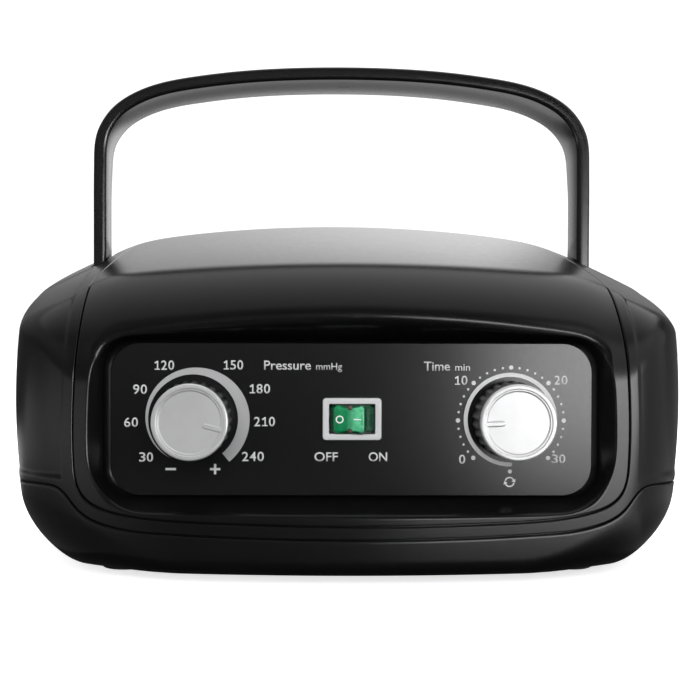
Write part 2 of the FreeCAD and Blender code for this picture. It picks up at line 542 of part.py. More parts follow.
# ---------------------------------------------------------------- air distributor
dx, dy = -84.0, 29.0
db = cz(25.0, 12.0, 34.0, dx, dy).cut(cz(20.0, 26.0, 40.0, dx, dy))
for i in range(4):
    db = db.cut(cz(2.5, 16.0, 30.0, dx + 12 * math.cos(math.pi / 4 + i * math.pi / 2), dy + 12 * math.sin(math.pi / 4 + i * math.pi / 2)))
put("distributor_body", db)
rot = cz(19.6, 26.3, 31.0, dx, dy).fuse(cz(3.0, 31.0, 46.0, dx, dy)).cut(box(dx + 6, dx + 17, dy - 3, dy + 3, 20, 30))
put("distributor_rotor", rot)
gm = cz(20.0, 34.0, 56.0, dx, dy).cut(cz(3.05, 33.0, 48.0, dx, dy))
put("gear_motor", gm)

# ---------------------------------------------------------------- tubes and wiring
def tube(pts, r):
    s = None
    for a, b in zip(pts, pts[1:]):
        a, b = V(*a), V(*b)
        c = Part.makeCylinder(r, (b - a).Length, a, b - a)
        s = c if s is None else s.fuse(c)
    for p in pts[1:-1]:
        s = s.fuse(Part.makeSphere(r, V(*p)))
    return s


tubes = []
for i, y in enumerate(PORT_Y):
    tubes.append(tube([(-114.0, y, PORT_Z), (-108.0, y, PORT_Z), (-108.0, y, 60.0), (-104.0, y, 84.0), (104.0, y, 84.0), (108.0, y, 60.0), (108.0, y, PORT_Z), (114.0, y, PORT_Z)], 3.0))
put("hose_port_tubes", tubes, True)
put("supply_tube", tube([(78.0, cyc, 58.0), (86.0, cyc, 58.0), (86.0, -22.0, 58.0), (86.0, -22.0, 30.0),
                         (-66.0, -22.0, 30.0), (-84.0, -22.0, 22.0), (-84.0, 4.0, 22.0)], 3.0))
tb = box(84, 100, 0, 34, 8, 22)
for y in (6.0, 10.5, 17.0, 24.0):
    tb = tb.cut(box(83, 101, y, y + 4.0, 17, 23))
put("terminal_block", tb)
leads = [tube([(32.0 - 7, 66.0, 60.0), (32.0 - 7, 63.5, 60.0), (32.0 - 7, 63.5, 90.0), (92.0, 63.5, 90.0), (92.0, 26.0, 90.0), (92.0, 26.0, 17.0)], 1.0),
         tube([(6.5, -55.0, 57.9), (6.5, -40.0, 57.9), (6.5, -40.0, 92.0), (94.0, -40.0, 92.0), (94.0, 8.0, 92.0), (94.0, 8.0, 17.0)], 1.0),
         tube([(57.15, -46.0, 70.0), (57.15, -36.0, 70.0), (96.5, -36.0, 70.0), (96.5, 12.5, 70.0), (96.5, 12.5, 17.0)], 1.0)]
put("wiring", leads, True)
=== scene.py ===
import json
import math
import bpy
import bmesh
import numpy as np
from mathutils import Vector, Matrix


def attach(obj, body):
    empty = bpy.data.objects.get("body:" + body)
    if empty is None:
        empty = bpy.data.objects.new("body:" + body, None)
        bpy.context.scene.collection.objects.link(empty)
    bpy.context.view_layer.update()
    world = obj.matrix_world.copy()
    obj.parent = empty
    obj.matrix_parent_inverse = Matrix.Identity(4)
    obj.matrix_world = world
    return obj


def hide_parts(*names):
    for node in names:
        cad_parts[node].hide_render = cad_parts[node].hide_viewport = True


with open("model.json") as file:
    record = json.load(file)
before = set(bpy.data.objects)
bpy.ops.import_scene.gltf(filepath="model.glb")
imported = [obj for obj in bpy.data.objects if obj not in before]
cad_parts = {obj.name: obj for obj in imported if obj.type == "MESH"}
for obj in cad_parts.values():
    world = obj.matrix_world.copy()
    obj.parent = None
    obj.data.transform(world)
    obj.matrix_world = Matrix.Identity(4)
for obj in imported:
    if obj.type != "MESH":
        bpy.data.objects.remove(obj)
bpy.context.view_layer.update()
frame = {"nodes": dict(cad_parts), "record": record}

MM = 0.001

# ------------------------------------------------------------------ outer form, in mm
FRONT_Y, BACK_Y, FRONT_R, BACK_R = -100.0, 103.5, 410.0, 300.0
HALF_W, SIDE_RY, SIDE_RZ, WIDEST_Z, FLOOR_Z = 132.0, 293.0, 253.0, 63.5, 3.0
R_FRONT_SIDE, R_BACK_SIDE, R_FRONT_TOP, R_SIDE_TOP = 20.0, 34.0, 30.0, 4.6
R_BOTTOM_MID, R_BOTTOM_SIDE = 5.6, 25.8
TOP_Z0, TOP_S1, TOP_S2, TOP_K2 = 118.8, 0.25, 0.00071, 0.00079
KINK_X, KINK_S, KINK_W = 90.0, 0.31, 8.6
COVER_BACK_Y = 72.0
WALL = 2.4
MID = np.array([0.0, 0.0, 60.0])
SPLIT_PTS = [(0, 16.4), (28, 16.7), (53, 17.3), (66, 17.8), (77, 18.4), (86, 19.9), (92.5, 22.0),
             (97, 24.7), (100.2, 28.0), (103, 31.2), (106, 33.2), (110, 33.9), (124, 33.4), (150, 33.4)]
SEAM_PTS = [(0, 21.1), (28, 21.4), (53, 22.0), (66, 22.5), (77, 23.5), (86.5, 25.3), (92.5, 27.6),
            (96.4, 31.0), (98.5, 35.6), (99.3, 42), (99.6, 56), (99.0, 72), (98.0, 88), (97.0, 103),
            (95.9, 111), (93.6, 117), (91.4, 124), (89.2, 130), (87.0, 136), (85.5, 145)]
LIP_PTS = [(0, 25.1), (30, 25.0), (56, 24.8), (70, 24.7), (77, 25.1), (83, 27.1), (88.2, 31.0), (91.9, 36.0),
           (93.9, 41.5), (94.6, 48.0), (94.5, 60.0), (93.9, 70.0), (92.4, 78.0), (89.0, 84.4), (84.0, 87.3),
           (77.0, 88.7), (64, 90.0), (49, 91.4), (25, 92.9), (0, 93.5)]
PANEL_Y, PANEL_HALF, PANEL_Z0, PANEL_Z1, PANEL_R = -86.0, 86.1, 30.5, 84.9, 10.5


def smax(a, b, r):
    return np.where((a > -r) & (b > -r), np.hypot(a + r, b + r) - r, np.maximum(a, b))


def step(t):
    t = np.clip(t, 0, 1)
    return t * t * (3 - 2 * t)


def roof(x, y):
    s = np.abs(x) - KINK_X
    return (TOP_Z0 + TOP_S1 * (y + 55) - TOP_S2 * (y + 55) ** 2 - TOP_K2 * x * x
            - KINK_S * 0.5 * (s + np.sqrt(s * s + KINK_W * KINK_W)))


def form(p):
    """About the signed distance to the outer skin, negative inside."""
    x, y, z = p[..., 0], p[..., 1], p[..., 2]
    ax = np.abs(x)
    df = np.hypot(x, y - (FRONT_Y + FRONT_R)) - FRONT_R
    db = np.hypot(x, y - (BACK_Y - BACK_R)) - BACK_R
    ds = ax - HALF_W + y * y / (2 * SIDE_RY) + (z - WIDEST_Z) ** 2 / (2 * SIDE_RZ)
    dt = (z - roof(x, y)) / 1.049
    w = 1 / (1 + np.exp(-(ax - 108) / 5.0))
    rt = R_FRONT_TOP * (1 - w) + R_SIDE_TOP * w
    w2 = step((ax - 60) / 60)
    rb = R_BOTTOM_MID * (1 - w2) + R_BOTTOM_SIDE * w2
    s = smax(smax(df, ds, R_FRONT_SIDE), db, R_BACK_SIDE)
    f = smax(smax(s, dt, rt), FLOOR_Z - z, rb)
    # the shoulders stand 0.4 mm behind the frame strip beside the cover
    xc = np.interp(z, [0, 30, 57, 100, 110, 115, 124, 140], [104, 104, 104, 102.2, 102.6, 103.1, 104, 104])
    f = f + 0.42 * step((ax - xc) / 1.1 + 0.5) * step((z - 35.5) / 3.0) * step((-y - 2) / 10.0)
    return f


def normal(p, h=0.05):
    g = np.empty_like(p)
    for i in range(3):
        e = np.zeros(3)
        e[i] = h
        g[..., i] = form(p + e) - form(p - e)
    return g / np.linalg.norm(g, axis=-1, keepdims=True)


def cast(d, origin=MID, hi=330.0):
    """Where rays from inside meet the skin."""
    d = d / np.linalg.norm(d, axis=-1, keepdims=True)
    lo = np.zeros(d.shape[:-1])
    hi = np.full(d.shape[:-1], hi)
    for _ in range(42):
        m = 0.5 * (lo + hi)
        ins = form(origin + d * m[..., None]) < 0
        lo = np.where(ins, m, lo)
        hi = np.where(ins, hi, m)
    return origin + d * lo[..., None]


def scan(base, axis, lo, hi, n=600):
    """First entry into the body when going from lo to hi along one axis."""
    ts = np.linspace(lo, hi, n)
    out = []
    for b in base:
        p = np.tile(np.asarray(b, float), (n, 1))
        p[:, axis] = ts
        f = form(p)
        k = np.nonzero(f < 0)[0]
        if len(k) == 0 or k[0] == 0:
            out.append(np.nan)
            continue
        a, c = ts[k[0] - 1], ts[k[0]]
        for _ in range(30):
            m = 0.5 * (a + c)
            q = np.array(b, float)
            q[axis] = m
            if form(q) < 0:
                c = m
            else:
                a = m
        out.append(0.5 * (a + c))
    return np.array(out)


def spline(pts, n=500):
    """Natural cubic through points, chord parameter."""
    P = np.asarray(pts, float)
    d = np.r_[0, np.cumsum(np.linalg.norm(np.diff(P, axis=0), axis=1))]
    N, h = len(P), np.diff(d)
    A, B = np.zeros((N, N)), np.zeros((N, P.shape[1]))
    A[0, 0] = A[-1, -1] = 1
    for i in range(1, N - 1):
        A[i, i - 1], A[i, i], A[i, i + 1] = h[i - 1], 2 * (h[i - 1] + h[i]), h[i]
        B[i] = 6 * ((P[i + 1] - P[i]) / h[i] - (P[i] - P[i - 1]) / h[i - 1])
    M = np.linalg.solve(A, B)
    t = np.linspace(0, d[-1], n)
    k = np.clip(np.searchsorted(d, t, side="right") - 1, 0, N - 2)
    a, b, hh = (d[k + 1] - t)[:, None], (t - d[k])[:, None], h[k][:, None]
    return (M[k] * a ** 3 / (6 * hh) + M[k + 1] * b ** 3 / (6 * hh)
            + (P[k] / hh - M[k] * hh / 6) * a + (P[k + 1] / hh - M[k + 1] * hh / 6) * b)


def half_spline(pts, n=900, closed_top=False):
    """Spline of a mirrored outline, right half only, starting at x = 0."""
    left = [(-x, z) for x, z in reversed(pts[1:])]
    full = left + list(pts)
    if closed_top:
        full = list(reversed([(-x, z) for x, z in left[:4]])) [:0] + full
    s = spline(full, 2 * n)
    return s[s[:, 0] >= 0]


def arclen(P):
    return np.r_[0, np.cumsum(np.linalg.norm(np.diff(P, axis=0), axis=1))]


def at_len(P, s):
    d = arclen(P)
    return np.stack([np.interp(s, d, P[:, i]) for i in range(P.shape[1])], axis=-1)


def nearest_len(P, q):
    d = arclen(P)
    return d[np.argmin(np.linalg.norm(P - np.asarray(q, float), axis=1))]


def pchip(x, y, t):
    """Monotone cubic through (x, y)."""
    x, y = np.asarray(x, float), np.asarray(y, float)
    h, dl = np.diff(x), np.diff(y) / np.diff(x)
    m = np.zeros(len(x))
    for i in range(1, len(x) - 1):
        if dl[i - 1] * dl[i] > 0:
            w1, w2 = 2 * h[i] + h[i - 1], h[i] + 2 * h[i - 1]
            m[i] = (w1 + w2) / (w1 / dl[i - 1] + w2 / dl[i])
    m[0], m[-1] = dl[0], dl[-1]
    k = np.clip(np.searchsorted(x, t, side="right") - 1, 0, len(x) - 2)
    u = (t - x[k]) / h[k]
    return (y[k] * (1 + 2 * u) * (1 - u) ** 2 + m[k] * h[k] * u * (1 - u) ** 2
            + y[k + 1] * u * u * (3 - 2 * u) + m[k + 1] * h[k] * u * u * (u - 1))


H = 400                                    # columns in each half of the shells
TA, TB, TC, TD = 0.12, 0.21, 0.29, 0.74      # anchors: end of the base, corner, side, rear corner
TAU = np.linspace(0, 1, H + 1)


def columns(P, anchors):
    """H+1 points of a half loop; anchors are (tau, point) pairs."""
    t = [a[0] for a in anchors]
    s = [0.0 if a[1] is None and a[0] == 0 else arclen(P)[-1] if a[1] is None else nearest_len(P, a[1]) for a in anchors]
    return at_len(P, pchip(t, s, TAU))


def mirror(P):
    """Right half (H+1) to the whole loop (2H)."""
    L = P[1:-1][::-1].copy()
    L[:, 0] *= -1
    return np.vstack([P, L])


def slerp_rows(a, b, ts):
    """Rows on the skin between two loops on it."""
    da, db = a - MID, b - MID
    da /= np.linalg.norm(da, axis=1, keepdims=True)
    db /= np.linalg.norm(db, axis=1, keepdims=True)
    om = np.arccos(np.clip((da * db).sum(1), -1, 1))[:, None]
    om = np.maximum(om, 1e-9)
    rows = []
    for t in ts:
        d = (np.sin((1 - t) * om) * da + np.sin(t * om) * db) / np.sin(om)
        rows.append(cast(d))
    return rows


def turn_rows(a, b, ts):
    """Rows on the skin between two loops, even in x and in the angle round the body's long axis."""
    va, vb = np.arctan2(a[:, 2] - MID[2], -a[:, 1]), np.arctan2(b[:, 2] - MID[2], -b[:, 1])
    rows = []
    for t in ts:
        x, v = a[:, 0] + (b[:, 0] - a[:, 0]) * t, va + (vb - va) * t
        o = np.c_[x, np.zeros(len(x)), np.full(len(x), MID[2])]
        rows.append(cast(np.c_[np.zeros(len(x)), -np.cos(v), np.sin(v)], o))
    return rows


def along(P):
    """Unit tangents of a closed loop."""
    t = np.roll(P, -1, 0) - np.roll(P, 1, 0)
    return t / np.linalg.norm(t, axis=1, keepdims=True)


def inward(P, toward):
    """Unit vectors in the skin, square to the loop, towards the given loop."""
    n, t = normal(P), along(P)
    w = np.cross(n, t)
    w /= np.linalg.norm(w, axis=1, keepdims=True)
    s = np.sign(((toward - P) * w).sum(1))
    s = np.sign(np.median(s)) if abs(s.mean()) > 0.3 else s
    return w * np.reshape(s, (-1, 1)) if np.ndim(s) else w * s, n


def edge_rows(P, w, n, r=0.55, depth=WALL, k=4):
    """Rounded edge, from the wall's inner end out to the skin."""
    rows = [P - n * depth]
    for i in range(k + 1):
        th = math.pi / 2 * (1 - i / k)
        rows.append(P + w * r * (1 - math.sin(th)) - n * r * (1 - math.cos(th)))
    return rows


def ease(n, b=0.55):
    j = np.linspace(0, 1, n + 1)
    return (1 - b) * j + b * 0.5 * (1 - np.cos(np.pi * j))


# ------------------------------------------------------------------ loops
def top_z(x, y):
    """Height of the skin above points of the plan."""
    x, y = np.asarray(x, float), np.asarray(y, float)
    lo, hi = np.full(x.shape, 60.0), np.full(x.shape, 190.0)
    for _ in range(40):
        m = 0.5 * (lo + hi)
        ins = form(np.stack([x, y, m], -1)) < 0
        lo, hi = np.where(ins, m, lo), np.where(ins, hi, m)
    return lo


def seam_half():
    o = half_spline(SEAM_PTS)
    f = o[o[:, 1] < 120.0][::2]
    y = scan([(x, 0, z) for x, z in f], 1, -125.0, 110.0, 480)
    P = np.c_[f[:, 0], y, f[:, 1]]
    P = P[(P[:, 1] < -62.0) & ~np.isnan(P[:, 1])]
    # over the roof the outline is followed by depth
    ys = np.linspace(-60.0, COVER_BACK_Y, 160)
    xs = np.full(len(ys), 93.0)
    up = o[o[:, 1] > 70]
    for _ in range(30):
        xs = 0.5 * xs + 0.5 * np.interp(top_z(xs, ys), up[:, 1], up[:, 0])
    xs = np.minimum.accumulate(xs)
    P = np.vstack([P, np.c_[xs, ys, top_z(xs, ys)]])
    xe = P[-1, 0]
    back = np.linspace(xe - 0.2, 0, 120)
    B = np.c_[back, np.full(len(back), COVER_BACK_Y), top_z(back, np.full(len(back), COVER_BACK_Y))]
    # round the rear corner
    r = 6.0
    i = np.argmax(P[:, 1] > COVER_BACK_Y - r)
    j = np.argmax(B[:, 0] < xe - r)
    a, b, c = P[i], np.array([xe, COVER_BACK_Y, 0]), B[j]
    t = np.linspace(0, 1, 24)[1:-1, None]
    q = (1 - t) ** 2 * a + 2 * t * (1 - t) * b + t * t * c
    q[:, 2] = top_z(q[:, 0], q[:, 1])
    P = np.vstack([P[:i + 1], q, B[j:]])
    return at_len(P, np.linspace(0, arclen(P)[-1], 2400))


def lip_half():
    o = spline([(-x, z) for x, z in LIP_PTS[3:0:-1]] + LIP_PTS + [(-x, z) for x, z in LIP_PTS[-2:-5:-1]], 1400)
    a = np.argmax(o[:, 0] >= 0)
    b = a + np.argmax(o[a + 20:, 0] <= 0) + 20
    o = o[a:b]
    y = scan([(x, 0, z) for x, z in o], 1, -125.0, 0.0, 300)
    return np.c_[o[:, 0], y, o[:, 1]]


def rect_half(hw, z0, z1, r, y):
    pts = [(x, z0) for x in np.linspace(0, hw - r, 60)]
    pts += [(hw - r + r * math.sin(a), z0 + r - r * math.cos(a)) for a in np.linspace(0, math.pi / 2, 60)[1:]]
    pts += [(hw, z) for z in np.linspace(z0 + r, z1 - r, 40)[1:]]
    pts += [(hw - r + r * math.cos(a), z1 - r + r * math.sin(a)) for a in np.linspace(0, math.pi / 2, 60)[1:]]
    pts += [(x, z1) for x in np.linspace(hw - r, 0, 60)[1:]]
    return np.array([(x, y, z) for x, z in pts])


def split_half(dz=0.0):
    o = half_spline(SPLIT_PTS)
    ph = np.linspace(0, math.pi, 2600)
    d = np.stack([np.sin(ph), -np.cos(ph)], -1)
    z = np.full(len(ph), 25.0)
    for _ in range(25):
        # horizontal ray at height z
        lo, hi = np.zeros(len(ph)), np.full(len(ph), 200.0)
        for _ in range(34):
            m = 0.5 * (lo + hi)
            p = np.stack([d[:, 0] * m, d[:, 1] * m, z], -1)
            ins = form(p) < 0
            lo, hi = np.where(ins, m, lo), np.where(ins, hi, m)
        z = 0.5 * z + 0.5 * (np.interp(d[:, 0] * lo, o[:, 0], o[:, 1]) + dz)
    P = np.stack([d[:, 0] * lo, d[:, 1] * lo, z], -1)
    return at_len(P, np.linspace(0, arclen(P)[-1], 2600))


SEAM3, LIP3 = seam_half(), lip_half()
OX, OZ, SINK = PANEL_HALF + 2.9, 1.05, 2.3   # edge of the groove round the panel, and its depth
OPEN3 = rect_half(OX, PANEL_Z0 - OZ, PANEL_Z1 + OZ, PANEL_R, PANEL_Y + SINK)
FLOOR3 = rect_half(OX - 6.0, PANEL_Z0 - OZ + 5.0, PANEL_Z1 + OZ - 5.0, PANEL_R - 4.0, PANEL_Y)
SPLIT3 = split_half()


def seam_at(y):
    """Seam point on the roof at a given depth."""
    k = np.argmin(np.abs(SEAM3[:, 1] - y) + 1000 * (SEAM3[:, 2] < 100))
    return SEAM3[k]


xo = OX - PANEL_R
yo = PANEL_Y + SINK
opening = columns(OPEN3, [(0, None), (TA, (xo, yo, PANEL_Z0 - OZ)), (TB, (OX, yo, 41.5)),
                          (TC, (OX, yo, 72.0)), (TD, (xo, yo, PANEL_Z1 + OZ)), (1, None)])
ledge = columns(FLOOR3, [(0, None), (TA, (xo - 2, PANEL_Y, PANEL_Z0 - OZ + 5)), (TB, (OX - 6, PANEL_Y, 41.5)),
                         (TC, (OX - 6, PANEL_Y, 72.0)), (TD, (xo - 2, PANEL_Y, PANEL_Z1 + OZ - 5)), (1, None)])
lip = columns(LIP3, [(0, None), (TA, LIP3[np.argmin(np.abs(LIP3[:, 0] - 76) + 1000 * (LIP3[:, 2] > 50))]),
                     (TB, LIP3[np.argmin(np.abs(LIP3[:, 2] - 43.0))]),
                     (TC, LIP3[np.argmin(np.abs(LIP3[:, 2] - 73.0))]),
                     (TD, LIP3[np.argmin(np.abs(LIP3[:, 0] - 78) + 1000 * (LIP3[:, 2] < 50))]), (1, None)])
corner = SEAM3[np.argmin(np.linalg.norm(SEAM3 - np.array([88.0, COVER_BACK_Y - 2, 131]), axis=1))]
seam = columns(SEAM3, [(0, None), (TA, SEAM3[np.argmin(np.abs(SEAM3[:, 0] - 78) + 1000 * (SEAM3[:, 2] > 50))]),
                       (TB, SEAM3[np.argmin(np.abs(SEAM3[:, 2] - 42.5) + 1000 * (SEAM3[:, 1] > 0))]),
                       (TC, SEAM3[np.argmin(np.abs(SEAM3[:, 2] - 84.0) + 1000 * (SEAM3[:, 1] > 0))]),
                       (TD, corner), (1, None)])
opening, lip, seam, ledge = mirror(opening), mirror(lip), mirror(seam), mirror(ledge)


# ------------------------------------------------------------------ mesh helpers
def new_object(name, verts, faces, scale=MM, smooth=True):
    me = bpy.data.meshes.new(name)
    me.from_pydata([tuple(v) for v in np.asarray(verts, float) * scale], [], faces)
    me.validate()
    bm = bmesh.new()
    bm.from_mesh(me)
    bmesh.ops.recalc_face_normals(bm, faces=bm.faces)
    bm.to_mesh(me)
    bm.free()
    if smooth:
        me.polygons.foreach_set("use_smooth", [True] * len(me.polygons))
    o = bpy.data.objects.new(name, me)
    bpy.context.scene.collection.objects.link(o)
    return o


def torus_mesh(name, rows, cap=None):
    """Closed shell from a ring of loops: each loop joins the next, the last joins the first."""
    n = len(rows[0])
    V = np.vstack(rows)
    F = []
    m = len(rows)
    for r in range(m if cap is None else m - 1):
        a, b = r * n, ((r + 1) % m) * n
        for c in range(n):
            d = (c + 1) % n
            F.append((a + c, a + d, b + d, b + c))
    if cap is not None:
        V = np.vstack([V, rows[0].mean(0), rows[-1].mean(0)])
        i0, i1 = len(V) - 2, len(V) - 1
        for c in range(n):
            d = (c + 1) % n
            F.append((i0, d, c))
            F.append((i1, (m - 1) * n + c, (m - 1) * n + d))
    return new_object(name, V, F)


def grid_normals(rows):
    """Normals of a band of loops, by differences."""
    G = np.stack(rows)
    du = np.gradient(G, axis=0)
    dv = np.roll(G, -1, 1) - np.roll(G, 1, 1)
    n = np.cross(du, dv)
    return n / np.maximum(np.linalg.norm(n, axis=2, keepdims=True), 1e-12)


def sharp(o, angle=32):
    """Keep creases of a smooth mesh sharp."""
    bm = bmesh.new()
    bm.from_mesh(o.data)
    lim = math.radians(angle)
    for e in bm.edges:
        if len(e.link_faces) == 2 and e.calc_face_angle(0) > lim:
            e.smooth = False
    bm.to_mesh(o.data)
    bm.free()


def cube(name, lo, hi, bevel=0.0, seg=3):
    bm = bmesh.new()
    bmesh.ops.create_cube(bm, size=1.0)
    for v in bm.verts:
        v.co = Vector([((lo[i] + hi[i]) / 2 + v.co[i] * (hi[i] - lo[i])) * MM for i in range(3)])
    if bevel:
        bmesh.ops.bevel(bm, geom=bm.edges[:], offset=bevel * MM, segments=seg, profile=0.5, affect="EDGES")
    me = bpy.data.meshes.new(name)
    bm.to_mesh(me)
    bm.free()
    o = bpy.data.objects.new(name, me)
    bpy.context.scene.collection.objects.link(o)
    return o


def lathe(name, prof, center, axis="y", n=96, closed=True, wave=None):
    """Turn (radius, along) points about an axis through center, mm."""
    prof = list(prof)
    V, F = [], []
    for i in range(n):
        a = 2 * math.pi * i / n
        for k, (r, h) in enumerate(prof):
            if wave:
                r = wave(r, h, a)
            c, s = r * math.cos(a), r * math.sin(a)
            if axis == "y":
                V.append((center[0] + c, center[1] + h, center[2] + s))
            elif axis == "x":
                V.append((center[0] + h, center[1] + c, center[2] + s))
            else:
                V.append((center[0] + c, center[1] + s, center[2] + h))
    m = len(prof)
    for i in range(n):
        j = (i + 1) % n
        for k in range(m - 1):
            F.append((i * m + k, j * m + k, j * m + k + 1, i * m + k + 1))
    if closed:
        F.append(tuple(i * m for i in range(n)))
        F.append(tuple(i * m + m - 1 for i in range(n)))
    else:
        for i in range(n):
            j = (i + 1) % n
            F.append((i * m + m - 1, j * m + m - 1, j * m, i * m))
    return new_object(name, V, F)


def boolean(o, cutters, op="DIFFERENCE"):
    for c in cutters:
        m = o.modifiers.new("b", "BOOLEAN")
        m.operation = op
        m.solver = "EXACT"
        m.object = c
    dg = bpy.context.evaluated_depsgraph_get()
    me = bpy.data.meshes.new_from_object(o.evaluated_get(dg))
    o.modifiers.clear()
    old = o.data
    o.data = me
    bpy.data.meshes.remove(old)
    for c in cutters:
        bpy.data.objects.remove(c)
    return o


def join(name, objs):
    bm = bmesh.new()
    for o in objs:
        me = o.data.copy()
        me.transform(o.matrix_world)
        bm.from_mesh(me)
    me = bpy.data.meshes.new(name)
    bm.to_mesh(me)
    bm.free()
    for o in objs:
        bpy.data.objects.remove(o)
    o = bpy.data.objects.new(name, me)
    bpy.context.scene.collection.objects.link(o)
    return o


# ------------------------------------------------------------------ materials
def mat(name, color, rough=0.5, metal=0.0, grain=0.0, grain_scale=900.0, mottle=0.0, mottle_scale=60.0,
        rough_var=0.0, spec=0.5, coat=0.0, coat_rough=0.2, speckle=0.0, speckle_scale=2600.0, wave=0.0,
        wear=0.0, bump_mm=0.02, transmission=0.0, ior=1.5, subsurf=0.0):
    """Procedural finish: grain in the bump, slow mottling in colour and roughness, lighter wear on edges."""
    m = bpy.data.materials.new(name)
    m.use_nodes = True
    nt = m.node_tree
    N, L = nt.nodes, nt.links
    b = N["Principled BSDF"]
    b.inputs["Metallic"].default_value = metal
    b.inputs["Specular IOR Level"].default_value = spec
    b.inputs["Coat Weight"].default_value = coat
    b.inputs["Coat Roughness"].default_value = coat_rough
    b.inputs["IOR"].default_value = ior
    b.inputs["Transmission Weight"].default_value = transmission
    b.inputs["Subsurface Weight"].default_value = subsurf
    tc = N.new("ShaderNodeTexCoord")

    def noise(scale, detail=3.0, rough_=0.55):
        t = N.new("ShaderNodeTexNoise")
        t.inputs["Scale"].default_value = scale
        t.inputs["Detail"].default_value = detail
        t.inputs["Roughness"].default_value = rough_
        L.new(tc.outputs["Object"], t.inputs["Vector"])
        return t

    def ramp(src, lo, hi, c0, c1):
        r = N.new("ShaderNodeMapRange")
        r.inputs["From Min"].default_value = lo
        r.inputs["From Max"].default_value = hi
        r.inputs["To Min"].default_value = c0
        r.inputs["To Max"].default_value = c1
        L.new(src, r.inputs["Value"])
        return r
    col = None
    base = N.new("ShaderNodeMix")
    base.data_type = "RGBA"
    base.inputs["A"].default_value = (*[max(c * (1 - mottle), 0) for c in color], 1)
    base.inputs["B"].default_value = (*[min(c * (1 + mottle), 1) for c in color], 1)
    mt = noise(mottle_scale, 4.0)
    L.new(ramp(mt.outputs["Fac"], 0.3, 0.7, 0, 1).outputs["Result"], base.inputs["Factor"])
    col = base.outputs["Result"]
    if speckle:
        sp = noise(speckle_scale, 1.0)
        k = N.new("ShaderNodeMix")
        k.data_type = "RGBA"
        k.inputs["B"].default_value = (*[min(c + speckle, 1) for c in color], 1)
        L.new(col, k.inputs["A"])
        L.new(ramp(sp.outputs["Fac"], 0.60, 0.75, 0, 1).outputs["Result"], k.inputs["Factor"])
        col = k.outputs["Result"]
    if wear:
        g = N.new("ShaderNodeNewGeometry")
        k = N.new("ShaderNodeMix")
        k.data_type = "RGBA"
        k.inputs["B"].default_value = (*[min(c + wear, 1) for c in color], 1)
        L.new(col, k.inputs["A"])
        L.new(ramp(g.outputs["Pointiness"], 0.53, 0.62, 0, 1).outputs["Result"], k.inputs["Factor"])
        col = k.outputs["Result"]
    L.new(col, b.inputs["Base Color"])
    rn = noise(grain_scale * 0.35, 3.0)
    L.new(ramp(rn.outputs["Fac"], 0.3, 0.7, max(rough - rough_var, 0.03), min(rough + rough_var, 1)).outputs["Result"], b.inputs["Roughness"])
    if grain:
        gn = noise(grain_scale, 2.0, 0.6)
        bp = N.new("ShaderNodeBump")
        bp.inputs["Strength"].default_value = grain
        bp.inputs["Distance"].default_value = bump_mm * MM
        L.new(gn.outputs["Fac"], bp.inputs["Height"])
        L.new(bp.outputs["Normal"], b.inputs["Normal"])
    return m


M = {}
M["shell"] = mat("shell_satin", (0.0036, 0.0036, 0.0039), 0.242, grain=0.22, grain_scale=1500, mottle=0.10, mottle_scale=45, rough_var=0.015, spec=0.40, bump_mm=0.012)
M["panel"] = mat("panel_film", (0.0056, 0.0056, 0.0060), 0.18, grain=0.42, grain_scale=2100, mottle=0.04, mottle_scale=70, rough_var=0.012, speckle=0.006, speckle_scale=3400, bump_mm=0.012, spec=0.45)
M["handle"] = mat("handle_gloss", (0.0068, 0.0068, 0.0072), 0.19, grain=0.12, grain_scale=1400, mottle=0.1, mottle_scale=50, rough_var=0.02, spec=0.6)
M["black"] = mat("fitting_black", (0.0075, 0.0075, 0.0080), 0.38, grain=0.25, grain_scale=1600, mottle=0.1, rough_var=0.05, spec=0.4)
M["skirt"] = mat("skirt_black", (0.012, 0.012, 0.0125), 0.33, grain=0.2, grain_scale=1800, mottle=0.1, rough_var=0.04)
M["silver"] = mat("knob_silver", (0.62, 0.62, 0.625), 0.34, metal=0.5, grain=0.3, grain_scale=2600, mottle=0.03, mottle_scale=120, rough_var=0.03, bump_mm=0.01)
M["bezel"] = mat("bezel_grey", (0.60, 0.605, 0.61), 0.42, grain=0.15, grain_scale=1500, mottle=0.03, rough_var=0.03)
M["green"] = mat("rocker_green", (0.003, 0.22, 0.075), 0.26, grain=0.2, grain_scale=700, mottle=0.22, mottle_scale=420, rough_var=0.05, spec=0.6)
M["notch"] = mat("notch_brown", (0.115, 0.075, 0.062), 0.5, grain=0.2, grain_scale=1500, mottle=0.15, rough_var=0.05)
M["print"] = mat("print_grey", (0.66, 0.66, 0.665), 0.33, grain=0.1, grain_scale=2000, mottle=0.03, rough_var=0.03)
M["print_dial"] = mat("print_dial_grey", (0.42, 0.42, 0.425), 0.45, grain=0.1, grain_scale=2000, mottle=0.03, rough_var=0.03)
M["white"] = mat("print_white", (0.85, 0.86, 0.86), 0.5, grain=0.1, grain_scale=2000, mottle=0.02, rough_var=0.03)
M["steel"] = mat("zinc_steel", (0.56, 0.56, 0.57), 0.32, metal=1.0, grain=0.2, grain_scale=1200, mottle=0.06, rough_var=0.08)
M["brass"] = mat("plated_brass", (0.70, 0.58, 0.36), 0.28, metal=1.0, grain=0.15, grain_scale=1200, mottle=0.05, rough_var=0.06)
M["rubber"] = mat("foot_rubber", (0.020, 0.020, 0.020), 0.75, grain=0.4, grain_scale=1100, mottle=0.12, rough_var=0.06, spec=0.35)
M["tech"] = mat("tech_plastic", (0.30, 0.31, 0.33), 0.5, grain=0.2, grain_scale=1100, mottle=0.06, rough_var=0.05)
